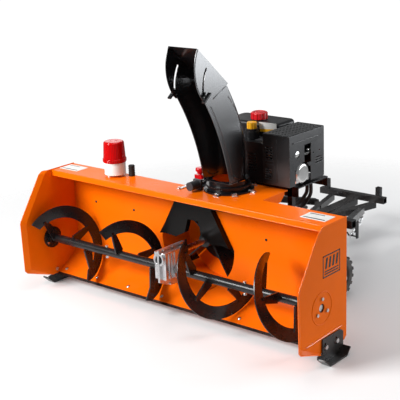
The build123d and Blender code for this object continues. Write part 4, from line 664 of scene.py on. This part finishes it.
def floor():
    """Pale round floor that fades into the white surroundings."""
    mesh = bmesh.new()
    spots = circle(Vector((0, 0, 0)), FLOOR_RADIUS, X_AXIS, Y_AXIS, 96)
    mesh.faces.new([mesh.verts.new(spot) for spot in spots])
    data = bpy.data.meshes.new("floor")
    mesh.to_mesh(data)
    mesh.free()
    n = Nodes("floor")
    n.link(n.mix(n.noise(1.5), (0.80, 0.80, 0.80), (0.84, 0.84, 0.84)), n.shader.inputs["Base Color"])
    n.shader.inputs["Roughness"].default_value = 0.8
    n.shader.inputs["Specular IOR Level"].default_value = 0.2
    away = n.add("ShaderNodeVectorMath", operation="LENGTH")
    n.link(n.place, away.inputs[0])
    n.link(n.span(away.outputs["Value"], FADE_FROM, FADE_TO, 1.0, 0.0), n.shader.inputs["Alpha"])
    data.materials.append(n.material)
    thing = bpy.data.objects.new("floor", data)
    bpy.context.scene.collection.objects.link(thing)


SKY_SEEN, SKY_FILL = 1.05, 0.22
MIDDLE = (0, -0.3, 0.4)
COOL, WARM = (0.93, 0.96, 1.0), (1.0, 0.96, 0.95)


def softbox(name, place, target, width, height, power, tint=(1.0, 1.0, 1.0)):
    light = bpy.data.lights.new(name, "AREA")
    light.shape = "RECTANGLE"
    light.size = width
    light.size_y = height
    light.energy = power
    light.color = tint
    thing = bpy.data.objects.new(name, light)
    bpy.context.scene.collection.objects.link(thing)
    thing.location = place
    thing.rotation_euler = (Vector(target) - Vector(place)).to_track_quat("-Z", "Y").to_euler()


def studio():
    """White behind the object for the camera, dimmer all round for the light, and four softboxes."""
    world = bpy.data.worlds.new("studio")
    bpy.context.scene.world = world
    world.use_nodes = True
    tree = world.node_tree
    seen = tree.nodes["Background"]
    seen.inputs["Color"].default_value = (1.0, 1.0, 1.0, 1.0)
    seen.inputs["Strength"].default_value = SKY_SEEN
    fill = tree.nodes.new("ShaderNodeBackground")
    fill.inputs["Color"].default_value = (0.96, 0.98, 1.0, 1.0)
    fill.inputs["Strength"].default_value = SKY_FILL
    path = tree.nodes.new("ShaderNodeLightPath")
    either = tree.nodes.new("ShaderNodeMixShader")
    tree.links.new(path.outputs["Is Camera Ray"], either.inputs[0])
    tree.links.new(fill.outputs[0], either.inputs[1])
    tree.links.new(seen.outputs[0], either.inputs[2])
    tree.links.new(either.outputs[0], tree.nodes["World Output"].inputs["Surface"])
    softbox("key", (-2.0, -4.6, 3.0), MIDDLE, 2.4, 1.8, 380)
    softbox("above", (0.3, -0.4, 4.4), MIDDLE, 3.0, 2.4, 65)
    softbox("sheen_right", (2.7, 2.5, 0.95), (0.1, -0.3, 0.9), 1.9, 1.3, 80, COOL)
    softbox("sheen_left", (-4.4, 3.4, 2.2), (-0.5, -0.5, 0.5), 2.2, 1.4, 18, WARM)
    scene = bpy.context.scene
    scene.view_settings.view_transform = "Standard"
    scene.view_settings.look = "None"


SENSOR = 36.0
FRAME_PIXELS = 400
FOCAL_PIXELS = 1052.47


def camera():
    """Camera on the photographed side: a slight roll, long lens, whole object in a square frame."""
    azimuth, elevation, roll = math.radians(40.75), math.radians(16.64), math.radians(-2.19)
    target = Vector((-0.11313, -0.3059, 0.43477))
    distance = 4.7367
    back = Vector((
        math.sin(azimuth) * math.cos(elevation),
        -math.cos(azimuth) * math.cos(elevation),
        math.sin(elevation),
    ))
    right = (-back).cross(Z_AXIS).normalized()
    up = right.cross(-back)
    tilted_right = math.cos(roll) * right + math.sin(roll) * up
    tilted_up = -math.sin(roll) * right + math.cos(roll) * up
    place = target + back * distance
    data = bpy.data.cameras.new("camera")
    data.sensor_width = SENSOR
    data.lens = FOCAL_PIXELS / FRAME_PIXELS * SENSOR
    data.clip_end = 100.0
    thing = bpy.data.objects.new("camera", data)
    bpy.context.scene.collection.objects.link(thing)
    columns = (tilted_right, tilted_up, back, place)
    rows = [[column[row] for column in columns] for row in range(3)] + [[0, 0, 0, 1]]
    thing.matrix_world = Matrix(rows)
    bpy.context.scene.camera = thing


floor()
studio()
camera()
